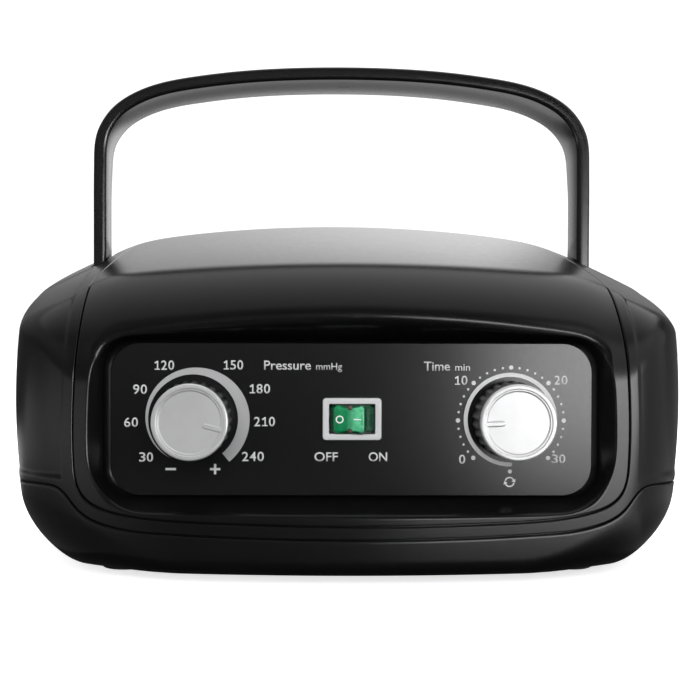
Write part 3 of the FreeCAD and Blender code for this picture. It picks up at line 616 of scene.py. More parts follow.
M["alu"] = mat("cast_aluminium", (0.55, 0.56, 0.57), 0.45, metal=1.0, grain=0.5, grain_scale=800, mottle=0.08, rough_var=0.1, bump_mm=0.04)
M["copper"] = mat("winding_copper", (0.55, 0.24, 0.10), 0.35, metal=0.8, grain=0.4, grain_scale=900, mottle=0.15, rough_var=0.08)
M["magnet"] = mat("magnet_steel", (0.20, 0.20, 0.21), 0.4, metal=1.0, grain=0.3, grain_scale=900, mottle=0.08, rough_var=0.08)
M["tube"] = mat("tube_silicone", (0.62, 0.64, 0.64), 0.4, grain=0.1, grain_scale=700, mottle=0.05, rough_var=0.04, subsurf=0.2)
M["wire"] = mat("wire_grey", (0.10, 0.10, 0.11), 0.5, grain=0.15, grain_scale=900, mottle=0.08, rough_var=0.05)



def paint_rocker_glow_and_shade(m):
    """Painted light on the clear green key: a painted glow in the colour of the middle of its face, fading towards its
    ends, and painted shade darkening down its flanks.
    """
    nt = m.node_tree
    N, L = nt.nodes, nt.links
    b = N["Principled BSDF"]
    src = b.inputs["Base Color"].links[0].from_socket
    tc = N.new("ShaderNodeTexCoord")
    sx = N.new("ShaderNodeSeparateXYZ")
    L.new(tc.outputs["Object"], sx.inputs[0])

    def smooth(sock, lo, hi, c0, c1):
        r = N.new("ShaderNodeMapRange")
        r.interpolation_type = "SMOOTHSTEP"
        r.inputs["From Min"].default_value = lo * MM
        r.inputs["From Max"].default_value = hi * MM
        r.inputs["To Min"].default_value = c0
        r.inputs["To Max"].default_value = c1
        L.new(sock, r.inputs["Value"])
        return r.outputs["Result"]

    def times(a, c):
        k = N.new("ShaderNodeMath")
        k.operation = "MULTIPLY"
        L.new(a, k.inputs[0])
        L.new(c, k.inputs[1])
        return k.outputs[0]
    n = N.new("ShaderNodeTexNoise")
    n.inputs["Scale"].default_value = 520.0
    n.inputs["Detail"].default_value = 3.0
    L.new(tc.outputs["Object"], n.inputs["Vector"])
    r = N.new("ShaderNodeMapRange")
    r.inputs["From Min"].default_value = 0.35
    r.inputs["From Max"].default_value = 0.6
    r.inputs["To Min"].default_value = 0.55
    r.inputs["To Max"].default_value = 1.0
    L.new(n.outputs["Fac"], r.inputs["Value"])
    # painted glow: lighter green over the middle of the face, mottled by noise
    glow = times(times(smooth(sx.outputs["X"], -2.6, 0.4, 0, 1), smooth(sx.outputs["X"], 2.2, 5.6, 1, 0.25)), r.outputs["Result"])
    k = N.new("ShaderNodeMix")
    k.data_type = "RGBA"
    k.inputs["B"].default_value = (0.13, 0.64, 0.33, 1)
    L.new(src, k.inputs["A"])
    L.new(glow, k.inputs["Factor"])
    # painted shade: darker green with depth below the face, which lies aslant
    q = N.new("ShaderNodeMath")
    q.operation = "MULTIPLY_ADD"
    q.inputs[1].default_value = 0.194
    L.new(sx.outputs["X"], q.inputs[0])
    L.new(sx.outputs["Y"], q.inputs[2])
    d = N.new("ShaderNodeMix")
    d.data_type = "RGBA"
    d.inputs["B"].default_value = (0.002, 0.052, 0.022, 1)
    L.new(k.outputs["Result"], d.inputs["A"])
    L.new(smooth(q.outputs[0], -89.75, -89.35, 0, 1), d.inputs["Factor"])
    L.new(d.outputs["Result"], b.inputs["Base Color"])


paint_rocker_glow_and_shade(M["green"])

SLOT_MAT = {"shell_black": "shell", "panel_black": "panel", "handle_black": "handle", "inlet_black": "black", "brass_contact": "brass",
            "steel": "steel", "foot_rubber": "rubber", "bezel_grey": "bezel", "rocker_green": "green", "knob_silver": "silver",
            "skirt_black": "skirt", "tech_plastic": "tech", "cast_aluminium": "alu", "copper": "copper", "magnet_steel": "magnet",
            "tube_clear": "tube", "wire_grey": "wire"}


def dress(o, m):
    o.data.materials.clear()
    o.data.materials.append(M[m])
    return o


for sp in frame["record"]["subparts"]:
    dress(frame["nodes"][sp["node"]], SLOT_MAT[sp["material_slot"]])


def part(o, m, body, slot, *nodes):
    dress(o, m)
    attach(o, body)
    if nodes:
        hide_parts(*nodes)
    return o


# ------------------------------------------------------------------ centre cover
def gap_to(P, Q):
    """Shortest distance from each point of one loop to another loop."""
    return np.array([np.linalg.norm(Q - p, axis=1).min() for p in P])[:, None]


def centre_cover():
    LIP_R = 0.6
    # recess wall from the groove to the lip, then round onto the skin
    out_dir, n_lip = inward(lip, seam)
    wall_dir = lip - opening
    wall_len = np.linalg.norm(wall_dir, axis=1, keepdims=True)
    wall_dir = wall_dir / wall_len
    near = gap_to(lip, seam)
    zl = lip[:, 2:3]
    soft = 1 + 9.0 * step((zl - 76) / 12) + 2.5 * step((38 - zl) / 12)   # the upper and lower blends are broader
    ra = np.minimum(LIP_R * soft, wall_len * 0.4)
    rb = np.minimum(LIP_R * soft * 0.9, 0.42 * near)
    A = lip - wall_dir * ra
    B = cast(lip + out_dir * rb - MID)
    dy = np.array([0, 1.0, 0])
    rows = [ledge + dy * 4.6, ledge + dy * 2.7, ledge * 0.5 + (opening - dy * SINK) * 0.5 + dy * 2.7, opening + dy * 0.4, opening + dy * 0.2, opening]
    for t in np.linspace(0, 1, 8)[1:-1]:
        rows.append(opening + (A - opening) * t)
    for t in np.linspace(0, 1, 12):
        rows.append((1 - t) ** 2 * A + 2 * t * (1 - t) * lip + t * t * B)
    n_in = len(rows)
    w, n = inward(seam, lip)
    edge = edge_rows(seam, w, n, r=np.minimum(0.55, 0.3 * gap_to(seam, lip)))
    S = edge[-1]
    mid = turn_rows(rows[-1], S, ease(96))
    rows += mid[1:-1]
    outer = rows + edge[::-1]
    nn = grid_normals(outer[1:-1])
    if (nn[-20] * normal(outer[-21])).sum() < 0:
        nn = -nn
    inner = [outer[1:-1][i] - normal(outer[1:-1][i]) * 1.9 for i in range(n_in + 6, len(nn) - 6, 2)]
    wall = [opening + dy * (4.6 - SINK) + wall_dir * np.minimum(t, f * wall_len) for t, f in ((2.2, 0.25), (9.0, 0.6))]
    return torus_mesh("centre_cover", outer + inner[::-1] + wall[::-1])


cover = part(centre_cover(), "shell", "housing", "shell_black", "center_cover")

# ------------------------------------------------------------------ upper housing
w_, n_ = inward(seam, lip)
seam_out = seam - w_ * 0.42
seam_out = cast(seam_out - MID)
SPL = columns(SPLIT3, [(0, None), (TA, SPLIT3[np.argmin(np.abs(SPLIT3[:, 0] - 80) + 1000 * (SPLIT3[:, 1] > 0))]),
                       (TB, SPLIT3[np.argmin(np.abs(SPLIT3[:, 0] - 109) + 1000 * (SPLIT3[:, 1] > 0))]),
                       (TC, SPLIT3[np.argmin(np.abs(SPLIT3[:, 1] + 70) + 1000 * (SPLIT3[:, 0] < 60))]),
                       (TD, SPLIT3[np.argmin(np.abs(SPLIT3[:, 1] - 78) + 1000 * (SPLIT3[:, 0] < 60))]), (1, None)])
SPL = mirror(SPL)


def upper_shell():
    wi, ni = inward(seam_out, SPL)
    e1 = edge_rows(seam_out, wi, ni)
    wo, no = inward(SPL, seam_out)
    e2 = edge_rows(SPL, wo, no, r=0.5)
    rows = e1[:-1] + slerp_rows(cast(e1[-1] - MID), cast(e2[-1] - MID), ease(110, 0.35)) + e2[:-1][::-1]
    nn = grid_normals(rows)
    if (nn[40] * normal(rows[40])).sum() < 0:
        nn = -nn
    inner = [rows[i] - normal(rows[i]) * WALL for i in range(8, len(nn) - 8, 2)]
    return torus_mesh("upper_shell", rows + inner[::-1])


upper = upper_shell()


def lower_shell():
    wo, no = inward(SPL, seam_out)
    low = cast(SPL - wo * 0.42 - MID)
    wi, ni = inward(low, low + np.array([0, 0, -20.0]) * 1.0)
    s = np.sign((wi[:, 2]))
    wi = wi * -s[:, None]
    e1 = edge_rows(low, wi, ni, r=0.5)
    foot = np.c_[low[:, 0] * 0.42, low[:, 1] * 0.42, np.full(len(low), FLOOR_Z)]
    rows = e1[:-1] + slerp_rows(cast(e1[-1] - MID), foot, ease(64, 0.35))
    nn = grid_normals(rows)
    if (nn[40] * normal(rows[40])).sum() < 0:
        nn = -nn
    inner = [rows[i] - nn[i] * WALL for i in range(8, len(nn), 2)]
    allr = [inner[-1]] + inner[::-1][1:] + rows
    return torus_mesh("lower_shell", allr, cap=True)


lower = lower_shell()
print("shells made", len(cover.data.vertices), len(upper.data.vertices), len(lower.data.vertices))



def tongue(name, P, w):
    """Thin rib behind a seam, so that no light falls through it."""
    n = normal(P)
    c = P - w * 0.21 - n * 1.25
    return torus_mesh(name, [c + w * 0.9, c - w * 0.9, c - w * 0.9 - n * 0.7, c + w * 0.9 - n * 0.7])


wo_, no_ = inward(SPL, seam_out)
part(join("seam_tongues", [tongue("t1", SPL, wo_), tongue("t2", seam, w_)]), "shell", "housing", "shell_black")

# ------------------------------------------------------------------ openings
SCREWS = [(-104, -52), (104, -52), (-104, 62), (104, 62)]
FEET = [(-84, -58), (84, -58), (-84, 66), (84, 66)]
cut = []
for sg in (-1, 1):
    xs = sorted((sg * 98.1, sg * 105.6))
    bm = bmesh.new()
    prof = [(-4.6, 80), (15, 80), (24, 92), (67, 119), (67, 150), (-4.6, 150)]
    a = [bm.verts.new((xs[0] * MM, y * MM, z * MM)) for y, z in prof]
    b = [bm.verts.new((xs[1] * MM, y * MM, z * MM)) for y, z in prof]
    bm.faces.new(a)
    bm.faces.new(b[::-1])
    for i in range(len(prof)):
        j = (i + 1) % len(prof)
        bm.faces.new((a[j], a[i], b[i], b[j]))
    bmesh.ops.recalc_face_normals(bm, faces=bm.faces)
    up = [e for e in bm.edges if abs((e.verts[0].co - e.verts[1].co).z) > 0.02 and abs((e.verts[0].co - e.verts[1].co).x) < 1e-6
          and e.verts[0].co.y < 0]
    up += [e for e in bm.edges if abs((e.verts[0].co - e.verts[1].co).z) > 0.02 and abs((e.verts[0].co - e.verts[1].co).x) < 1e-6
           and abs(e.verts[0].co.y - 0.067) < 1e-5 and abs(e.verts[1].co.y - 0.067) < 1e-5]
    bmesh.ops.bevel(bm, geom=up, offset=1.6 * MM, segments=5, profile=0.5, affect="EDGES")
    me = bpy.data.meshes.new("well")
    bm.to_mesh(me)
    bm.free()
    o = bpy.data.objects.new("well", me)
    bpy.context.scene.collection.objects.link(o)
    cut.append(o)
    xs = sorted((sg * 112.0, sg * 150.0))
    cut.append(cube("socket_hole", (xs[0], -40.3, 37.7), (xs[1], 28.3, 62.3)))
cut.append(cube("rear_hole", (-66.3, 60, 39.7), (66.3, 130, 84.3)))
boolean(upper, cut)
sharp(upper, 40)
part(upper, "shell", "housing", "shell_black", "upper_housing")

cut = []
for x, y in FEET:
    cut.append(lathe("fh", [(9.3, -2), (9.3, 5.0)], (x, y, 0), "z", 48))
for x, y in SCREWS:
    cut.append(lathe("sh", [(4.6, -5), (4.6, 20.0)], (x, y, 0), "z", 40))
for i in range(9):
    cut.append(cube("vent", (-30 + 7.5 * i - 1.6, -34, -2), (-30 + 7.5 * i + 1.6, -4, 7)))
boolean(lower, cut)
sharp(lower, 40)
part(lower, "shell", "housing", "shell_black", "lower_housing")
print("openings cut")

# ------------------------------------------------------------------ handle
ARCH = [(104.5, 94.0), (104.5, 106.0), (104.5, 122.0), (104.5, 138.0), (104.5, 150.0), (104.4, 160.0), (104.1, 167.5), (103.0, 172.7), (100.5, 177.9), (96.4, 183.1),
        (89.8, 188.0), (78.5, 192.8), (62.0, 196.2), (46.4, 198.2), (24.0, 199.8), (0.0, 200.3)]


def handle_mesh():
    o = spline(ARCH + [(-x, z) for x, z in ARCH[-2::-1]], 521)
    t = np.gradient(o, axis=0)
    t /= np.linalg.norm(t, axis=1, keepdims=True)
    nrm = np.c_[t[:, 1], -t[:, 0]]                  # to the outside
    if nrm[0, 0] < 0:
        nrm = -nrm
    rear = np.interp(o[:, 1], [94, 108, 124, 146, 162, 175, 187, 196, 210], [20.8, 20.8, 17, 17, 20.5, 26, 31, 34, 34])
    rear = np.convolve(np.pad(rear, 6, mode="edge"), np.ones(13) / 13, "valid")
    T, R = 5.3, 1.5
    rows = []
    for i in range(len(o)):
        x, z = o[i]
        y0, y1 = -3.0, rear[i]
        if z < 106:
            k = math.sqrt(max(144 - (106 - z) ** 2, 0.3))
            y0, y1 = 9 - k, 9 + k
        w = y1 - y0
        # section in (u: from outside to inside, v: front to back), a rounded strap
        sec = []
        r = min(R, w * 0.45)
        for cxu, cv, a0 in ((T - r, w - r, 0), (r, w - r, 90), (r, r, 180), (T - r, r, 270)):
            for k in range(6):
                a = math.radians(a0 + 90 * k / 5)
                sec.append((cxu + r * math.cos(a), cv + r * math.sin(a)))
        loop = []
        for u, v in sec:
            p = np.array([x, 0, z]) - np.array([nrm[i, 0], 0, nrm[i, 1]]) * u
            loop.append((p[0], y0 + v, p[2]))
        rows.append(np.array(loop))
    return torus_mesh("carry_strap", rows, cap=True)


handle = handle_mesh()
pins = []
for sg in (-1, 1):
    pins.append(lathe("pinhole", [(3.05, -10), (3.05, 10)], (sg * 102.2, 9, 106), "x", 48))
pins.append(lathe("gate", [(1.75, -1.0), (2.05, -1.0), (2.05, 0.22), (1.75, 0.22)], (1.0, 14.0, 195.0), "z", 40, closed=False))
boolean(handle, pins)
sharp(handle, 45)
part(handle, "handle", "carry_handle", "handle_black", "handle")

# ------------------------------------------------------------------ hose sockets
def side_patch(sg):
    y0, y1, z0, z1 = -40.0, 28.0, 38.0, 62.0
    r = 0.5
    ys = np.r_[y0, y0 + r * np.array([0.15, 0.4, 0.7, 1.0]), np.linspace(y0 + r, y1 - r, 60)[1:-1], y1 - r * np.array([1.0, 0.7, 0.4, 0.15]), y1]
    zs = np.r_[z0, z0 + r * np.array([0.15, 0.4, 0.7, 1.0]), np.linspace(z0 + r, z1 - r, 26)[1:-1], z1 - r * np.array([1.0, 0.7, 0.4, 0.15]), z1]
    Y, Z = np.meshgrid(ys, zs, indexing="ij")
    lo, hi = np.full(Y.shape, 100.0), np.full(Y.shape, 140.0)
    for _ in range(40):
        m = 0.5 * (lo + hi)
        ins = form(np.stack([m, Y, Z], -1)) < 0
        lo, hi = np.where(ins, m, lo), np.where(ins, hi, m)
    e = np.minimum(np.minimum(Y - y0, y1 - Y), np.minimum(Z - z0, z1 - Z))
    dip = np.where(e < r, r - np.sqrt(np.maximum(r * r - (r - e) ** 2, 0)), 0)
    X = lo - dip
    n, m = Y.shape
    V = [(sg * X[i, j], Y[i, j], Z[i, j]) for i in range(n) for j in range(m)]
    F = [(i * m + j, (i + 1) * m + j, (i + 1) * m + j + 1, i * m + j + 1) for i in range(n - 1) for j in range(m - 1)]
    k = len(V)
    V += [(sg * 114.0, Y[i, j], Z[i, j]) for i in range(n) for j in range(m)]
    F += [(k + i * m + j, k + i * m + j + 1, k + (i + 1) * m + j + 1, k + (i + 1) * m + j) for i in range(n - 1) for j in range(m - 1)]
    ring = [i * m for i in range(n)] + [(n - 1) * m + j for j in range(1, m)] + [i * m + m - 1 for i in range(n - 2, -1, -1)] + [j for j in range(m - 2, 0, -1)]
    for a, b in zip(ring, ring[1:] + ring[:1]):
        F.append((a, b, k + b, k + a))
    o = new_object("hose_socket_face", V, F)
    cuts = []
    for y in (-30.0, -14.0, 2.0, 18.0):
        cuts.append(lathe("port", [(4.5, 100), (4.5, 150)], (0, y, 50.0), "x", 56))
        if sg < 0:
            cuts[-1].data.transform(Matrix.Scale(-1, 4, (1, 0, 0)))
            cuts[-1].data.flip_normals()
    boolean(o, cuts)
    sharp(o, 40)
    return o


for sg, nm in ((1, "right"), (-1, "left")):
    o = side_patch(sg)
    o.name = "hose_socket_face_" + nm
    part(o, "black", "housing", "shell_black", "hose_socket_" + nm)

# ------------------------------------------------------------------ knobs
def knob_cap(name, cx, ang, cz=57.7):
    """Thin silver cap: chamfered rim, stepped ring, sunk disc with a raised pointer that joins the ring."""
    yf = -103.5
    n = 480
    rs = np.r_[np.linspace(0.0, 4.0, 12)[1:], np.arange(4.1, 10.6, 0.13), np.arange(10.65, 11.5, 0.07), [11.6, 11.68, 11.75, 11.82, 11.9, 12.0, 12.3, 12.6, 12.75, 12.85, 12.95, 13.08, 13.2, 13.3, 13.37, 13.4]]
    th = np.arange(n) * 2 * math.pi / n
    Rg, Tg = np.meshgrid(rs, th)
    X, Z = Rg * np.cos(Tg), Rg * np.sin(Tg)
    a = math.radians(ang)
    u, v = X * math.cos(a) + Z * math.sin(a), -X * math.sin(a) + Z * math.cos(a)
    # distance outside the raised pointer
    dc = np.hypot(u - np.clip(u, 5.5, 12.0), v) - 0.62
    d = np.minimum(dc / 0.34, (11.2 - Rg) / 0.5)
    k = 0.5 * (1 - np.cos(np.pi * np.clip(d, 0, 1)))
    Y = 0.34 + 0.42 * k
    # stepped ring and outer chamfer
    step_up = 0.5 * (1 - np.cos(np.pi * np.clip((Rg - 11.62) / 0.26, 0, 1)))
    Y = Y - 0.26 * step_up
    Y = np.where(Rg > 12.7, Y + np.maximum(0, 0.7 - np.sqrt(np.maximum(0.7 ** 2 - (Rg - 12.7) ** 2, 0))), Y)
    V = [(cx, yf + float(Y[0, 0]), cz)]
    m = len(rs)
    for i in range(n):
        for j in range(m):
            V.append((cx + X[i, j], yf + Y[i, j], cz + Z[i, j]))
    F = []
    for i in range(n):
        i2 = (i + 1) % n
        F.append((0, 1 + i2 * m, 1 + i * m))
        for j in range(m - 1):
            F.append((1 + i * m + j, 1 + i2 * m + j, 1 + i2 * m + j + 1, 1 + i * m + j + 1))
    base = 1 + n * m
    side = [(13.4, 1.2), (13.38, 2.05), (13.2, 2.2), (9.0, 2.2), (3.0, 2.2)]
    for i in range(n):
        for (r, h) in side:
            V.append((cx + r * math.cos(th[i]), yf + h, cz + r * math.sin(th[i])))
    q = len(side)
    for i in range(n):
        i2 = (i + 1) % n
        F.append((1 + i * m + m - 1, 1 + i2 * m + m - 1, base + i2 * q, base + i * q))
        for j in range(q - 1):
            F.append((base + i * q + j, base + i2 * q + j, base + i2 * q + j + 1, base + i * q + j + 1))
    F.append(tuple(base + i * q + q - 1 for i in range(n)))
    o = new_object(name, V, F)
    sharp(o, 50)
    return o


def knob_body(name, cx, cz=57.7):
    """Fluted black body, bored for the shaft and hollow over the nut."""
    hs = np.r_[-15.25, -15.1, np.linspace(-14.8, -1.6, 14), -1.1, -0.8, -0.66]
    rs = np.interp(hs, [-15.25, -15.1, -14.8, -1.1, -0.8, -0.66], [13.1, 13.28, 13.32, 13.98, 13.9, 13.6])
    prof = [(3.1, -15.25), (3.1, -2.9), (9.7, -2.9), (9.7, -0.62), (13.3, -0.62)] + list(zip(rs, hs))[::-1]

    def wave(r, h, a):
        if r < 13.0:
            return r
        k = min((h + 15.25) / 3.0, 1.0)
        c = 0.5 + 0.5 * math.cos(a * 25 + math.pi)
        return r - (0.18 + 0.50 * k) * c ** 1.5 * (1.0 if r > 13.35 else 0.6)
    o = lathe(name, prof, (cx, -86.0, cz), "y", 640, closed=False, wave=wave)
    sharp(o, 50)
    return o


LX, RX, DZ = -57.0, 57.0, 57.7
for nm, cx, ang in (("pressure", LX, -14.0), ("timer", RX, 183.0)):
    body = nm + "_dial"
    part(knob_cap(nm + "_cap", cx, ang), "silver", body, "knob_silver", nm + "_knob")
    part(knob_body(nm + "_body", cx), "skirt", body, "skirt_black", nm + "_knob_skirt")

# ------------------------------------------------------------------ rocker switch
def bezel():
    y0, y1 = -88.0, -86.0
    rows = []

    def rr(hw, hh, r, y, n=10):
        pts = []
        for cx_, cz_, a0 in ((hw - r, hh - r, 0), (-hw + r, hh - r, 90), (-hw + r, -hh + r, 180), (hw - r, -hh + r, 270)):
            for k in range(n + 1):
                a = math.radians(a0 + 90 * k / n)
                pts.append((cx_ + r * math.cos(a), y, 57.9 + cz_ + r * math.sin(a)))
        return np.array(pts)
    e = 0.35
    rows.append(rr(10.5, 7.5, 1.25, y1))
    for k in range(6):
        a = math.pi / 2 * k / 5
        rows.append(rr(10.5 - e + e * math.cos(a), 7.5 - e + e * math.cos(a), 1.25 - e + e * math.cos(a), y0 + e - e * math.sin(a)))
    for k in range(6):
        a = math.pi / 2 * (1 - k / 5)
        rows.append(rr(8.25 + e - e * math.cos(a), 5.35 + e - e * math.cos(a), 0.35 + e - e * math.cos(a), y0 + e - e * math.sin(a)))
    rows.append(rr(8.25, 5.35, 0.35, -73.0))
    rows.append(rr(9.45, 6.45, 0.35, -73.0))
    rows.append(rr(9.45, 6.45, 0.35, y1))
    return torus_mesh("switch_bezel", rows)


b_ = bezel()
b2 = cube("switch_case", (-9.5, -73.0, 51.4), (9.5, -64.0, 64.4), 0.5)
b_ = join("switch_bezel", [b_, b2])
b_.data.polygons.foreach_set("use_smooth", [True] * len(b_.data.polygons))
sharp(b_, 40)
part(b_, "bezel", "housing", "bezel_grey", "switch_frame")


def rocker():
    pts = []
    face = [(-5.3, -4.15), (-3.6, -3.83), (-1.8, -3.6), (0.0, -3.52), (1.8, -3.6), (3.6, -3.83), (4.3, -3.96)]
    # rounded ends, then the curved flanks down into the case
    prof = [(-8.0, 0.4), (-7.75, -1.1), (-7.2, -2.3), (-6.2, -3.4), (-5.8, -3.9), (-5.6, -4.06)] + face + [(4.6, -3.92), (4.8, -3.75), (5.0, -3.4), (5.9, -2.0), (7.2, -1.2), (8.0, 0.4), (5.0, 6.3), (-5.0, 6.3)]
    zs = [(-5.05, 1.15), (-4.9, 0.85), (-4.12, 0.12), (-3.98, 0.03), (-3.85, 0.0), (-3, 0.0), (-1, 0), (1, 0), (3, 0), (3.80, 0.0), (3.93, 0.03), (4.07, 0.12), (4.9, 0.85), (5.05, 1.15)]
    rows = []
    for z, inset in zs:
        loop = []
        for x, y in prof:
            l = math.hypot(x, y)
            k = (l - inset) / l
            loop.append((x * k, -86.0 + y * k, 57.9 + z))
        rows.append(np.array(loop))
    return torus_mesh("rocker_key", rows, cap=True)


ROT = Matrix.Translation(Vector((0, -0.086, 0))) @ Matrix.Rotation(math.radians(-11.0), 4, "Z") @ Matrix.Translation(Vector((0, 0.086, 0)))
rk = rocker()
notch, inlay = [], []
for s in (-1, 1):
    notch.append(lathe("notch", [(0.95, -6), (0.95, 0)], (-0.2, -86, 57.9 + s * 4.25), "y", 32))
    inlay.append(lathe("notch_floor", [(0.9, -3.0), (0.9, 0)], (-0.2, -86, 57.9 + s * 4.0), "y", 32))
boolean(rk, notch)
sharp(rk, 40)
rk.data.transform(ROT)
part(rk, "green", "rocker", "rocker_green", "switch_rocker")
inlay = join("rocker_notches", inlay)
inlay.data.transform(ROT)
part(inlay, "notch", "rocker", "rocker_green")


def ring_print(name, cx, cz, r0, r1, y, n=64, th=0.04):
    V, F = [], []
    for i in range(n):
        a = 2 * math.pi * i / n
        for r, yy in ((r0, y), (r1, y), (r1, y + th), (r0, y + th)):
            V.append((cx + r * math.cos(a), yy, cz + r * math.sin(a)))
    for i in range(n):
        j = (i + 1) % n
        for k in range(4):
            F.append((i * 4 + k, j * 4 + k, j * 4 + (k + 1) % 4, i * 4 + (k + 1) % 4))
    return new_object(name, V, F, smooth=False)


def on_face(x):
    """Height of the rocker's face, with the mark just proud of it."""
    return -86.0 + float(np.interp(x, [-5.5, -3.6, -1.8, 0, 1.8, 3.6, 5.5], [-4.2, -3.83, -3.6, -3.52, -3.6, -3.83, -4.2]))


mo = ring_print("mark_off", -3.85, 57.88, 0.96, 1.40, -90.0)
for v in mo.data.vertices:
    v.co.y += (on_face(v.co.x / MM) - 0.03 + 90.0) * MM
md = cube("mark_on", (1.2, -90.02, 57.7), (3.9, -89.96, 58.15), 0.0)
for v in md.data.vertices:
    v.co.y += (on_face(v.co.x / MM) - 0.03 + 90.0) * MM
for o in (mo, md):
    o.data.transform(ROT)
    part(o, "white", "rocker", "rocker_green")

# ------------------------------------------------------------------ printing on the panel
PY = -86.0
PRN = []


def to_x(px):
    return (px - 351.1) / 2.798


def to_z(px, py):
    return 57.7 - (py - 419.3 - 0.0061 * (px - 351.1)) / 2.798


def text(s, x, z, h, align="CENTER", bold=0.0, squeeze=1.0, name=None):
    """Lettering as a mesh of unit size; h and z are not used."""
    c = bpy.data.curves.new("label", "FONT")
    c.body = s
    c.size = 1.0
    c.align_x = align
    c.resolution_u = 6
    c.offset = bold
    o = bpy.data.objects.new("label", c)
    bpy.context.scene.collection.objects.link(o)
    dg = bpy.context.evaluated_depsgraph_get()
    me = bpy.data.meshes.new_from_object(o.evaluated_get(dg))
    bpy.data.objects.remove(o)
    return me


def cap_height():
    me = text("H", 0, 0, 1)
    zs = [v.co.y for v in me.vertices]
    h = max(zs) - min(zs)
    bpy.data.meshes.remove(me)
    return h, min([0])


CAP_H, _ = cap_height()


def put_text(s, x, z, h, align="CENTER", bold=0.012, width=None):
    """width: the whole word's width in mm; z is the middle of the capitals or figures."""
    me = text(s, 0, 0, 1, align, bold)
    k = h / CAP_H
    xs = [v.co.x for v in me.vertices]
    w = (max(xs) - min(xs)) * k
    sx = (width / w) if width else 1.0
    x0 = min(xs)
    xm = 0.5 * (min(xs) + max(xs))
    for v in me.vertices:
        lx = (v.co.x - (xm if align == "CENTER" else x0)) * k * sx + x
        lz = (v.co.y * k) - h / 2 + z
        v.co = Vector((lx * MM, (PY - 0.02) * MM, lz * MM))
    o = bpy.data.objects.new("print_" + "".join(ch if ch.isalnum() else "_" for ch in s), me)
    bpy.context.scene.collection.objects.link(o)
    # give the film a little thickness
    bm = bmesh.new()
    bm.from_mesh(me)
    bmesh.ops.remove_doubles(bm, verts=bm.verts, dist=1e-7)
    r = bmesh.ops.extrude_face_region(bm, geom=bm.faces[:])
    for g in r["geom"]:
        if isinstance(g, bmesh.types.BMVert):
            g.co.y += 0.018 * MM
    bmesh.ops.recalc_face_normals(bm, faces=bm.faces)
    bm.to_mesh(me)
    bm.free()
    PRN.append(o)
    return o


def flat(name, outline, holes=False):
    """Thin printed shape from a closed outline in x-z."""
    bm = bmesh.new()
    vs = [bm.verts.new((x * MM, (PY - 0.02) * MM, z * MM)) for x, z in outline]
    f = bm.faces.new(vs)
    r = bmesh.ops.extrude_face_region(bm, geom=[f])
    for g in r["geom"]:
        if isinstance(g, bmesh.types.BMVert):
            g.co.y += 0.018 * MM
    bmesh.ops.recalc_face_normals(bm, faces=bm.faces)
    bmesh.ops.triangulate(bm, faces=[f for f in bm.faces if len(f.verts) > 4])
    me = bpy.data.meshes.new(name)
    bm.to_mesh(me)
    bm.free()
    o = bpy.data.objects.new(name, me)
    bpy.context.scene.collection.objects.link(o)
    return o


def figures(s, x0, x1, y0, y1):
    """Figures in cells of one width, set into a box measured on the panel view; the 1 has a flag and a foot."""
    g = 0.9 if len(s) > 1 else 0.0
    wd = (x1 - x0 + g) / len(s)
    h = (y1 - y0) / 2.798
    for i, ch in enumerate(s):
        a, b = x0 + wd * i - 0.9, x0 + wd * (i + 1) - g - 1.3
        xm, ym = 0.5 * (a + b), 0.5 * (y0 + y1)
        X, Z, W = to_x(xm), to_z(xm, ym - 0.5), (b - a) / 2.798
        if ch == "1":
            t, u = 0.46 / W, 0.46 / h
            P = [(0.10, 0), (1.0, 0), (1.0, u * 0.85), (0.5 + t, u * 0.85), (0.5 + t, 1), (0.5 + t * 0.15, 1), (0.08, 0.80), (0.20, 0.80 - u * 0.95),
                 (0.5, 1 - u * 1.55), (0.5, u * 0.85), (0.10, u * 0.85)]
            PRN.append(flat("print_one", [(X - W / 2 + p * W, Z - h / 2 + q * h) for p, q in P]))
        else:
            put_text(ch, X, Z, h, width=W)


for s, x0, x1, y0 in (("120", 153.7, 174.2, 360.1), ("150", 222.8, 243.2, 360.1), ("90", 132.8, 147.1, 384.1), ("180", 248.8, 270.2, 384.1),
                      ("60", 123.8, 138.1, 417.1), ("210", 253.8, 275.2, 417.1), ("30", 138.9, 153.2, 452.1), ("240", 241.8, 264.1, 452.1)):
    figures(s, x0, x1, y0, y0 + 9.0)
for s, x0, x1, y0, y1 in (("10", 454.7, 468.3, 376.6, 385.4), ("20", 555.5, 569.0, 377.0, 385.7), ("0", 459.9, 466.6, 456.0, 464.7), ("30", 553.2, 567.4, 456.3, 464.7)):
    figures(s, x0, x1, y0, y1)
put_text("Pressure", to_x((263 + 310.7) / 2 - 0.5), to_z(287, 364.6), 3.2, width=47.0 / 2.798, bold=0.010)
put_text("mmHg", to_x((315.5 + 342.5) / 2 - 1.0), to_z(329, 366.0), 2.4, width=26.0 / 2.798, bold=0.004)
put_text("Time", to_x((423.2 + 449.4) / 2), to_z(436, 366.2), 3.2, width=26.2 / 2.798, bold=0.010)
put_text("min", to_x((454.7 + 469.5) / 2), to_z(462, 367.3), 2.4, width=14.8 / 2.798, bold=0.0)
put_text("OFF", to_x((313.7 + 338) / 2 - 0.5), to_z(326, 456.7), 3.1, width=23.6 / 2.798, bold=0.012)
put_text("ON", to_x((368.2 + 387.5) / 2 - 0.5), to_z(378, 457.0), 3.1, width=18.6 / 2.798, bold=0.012)


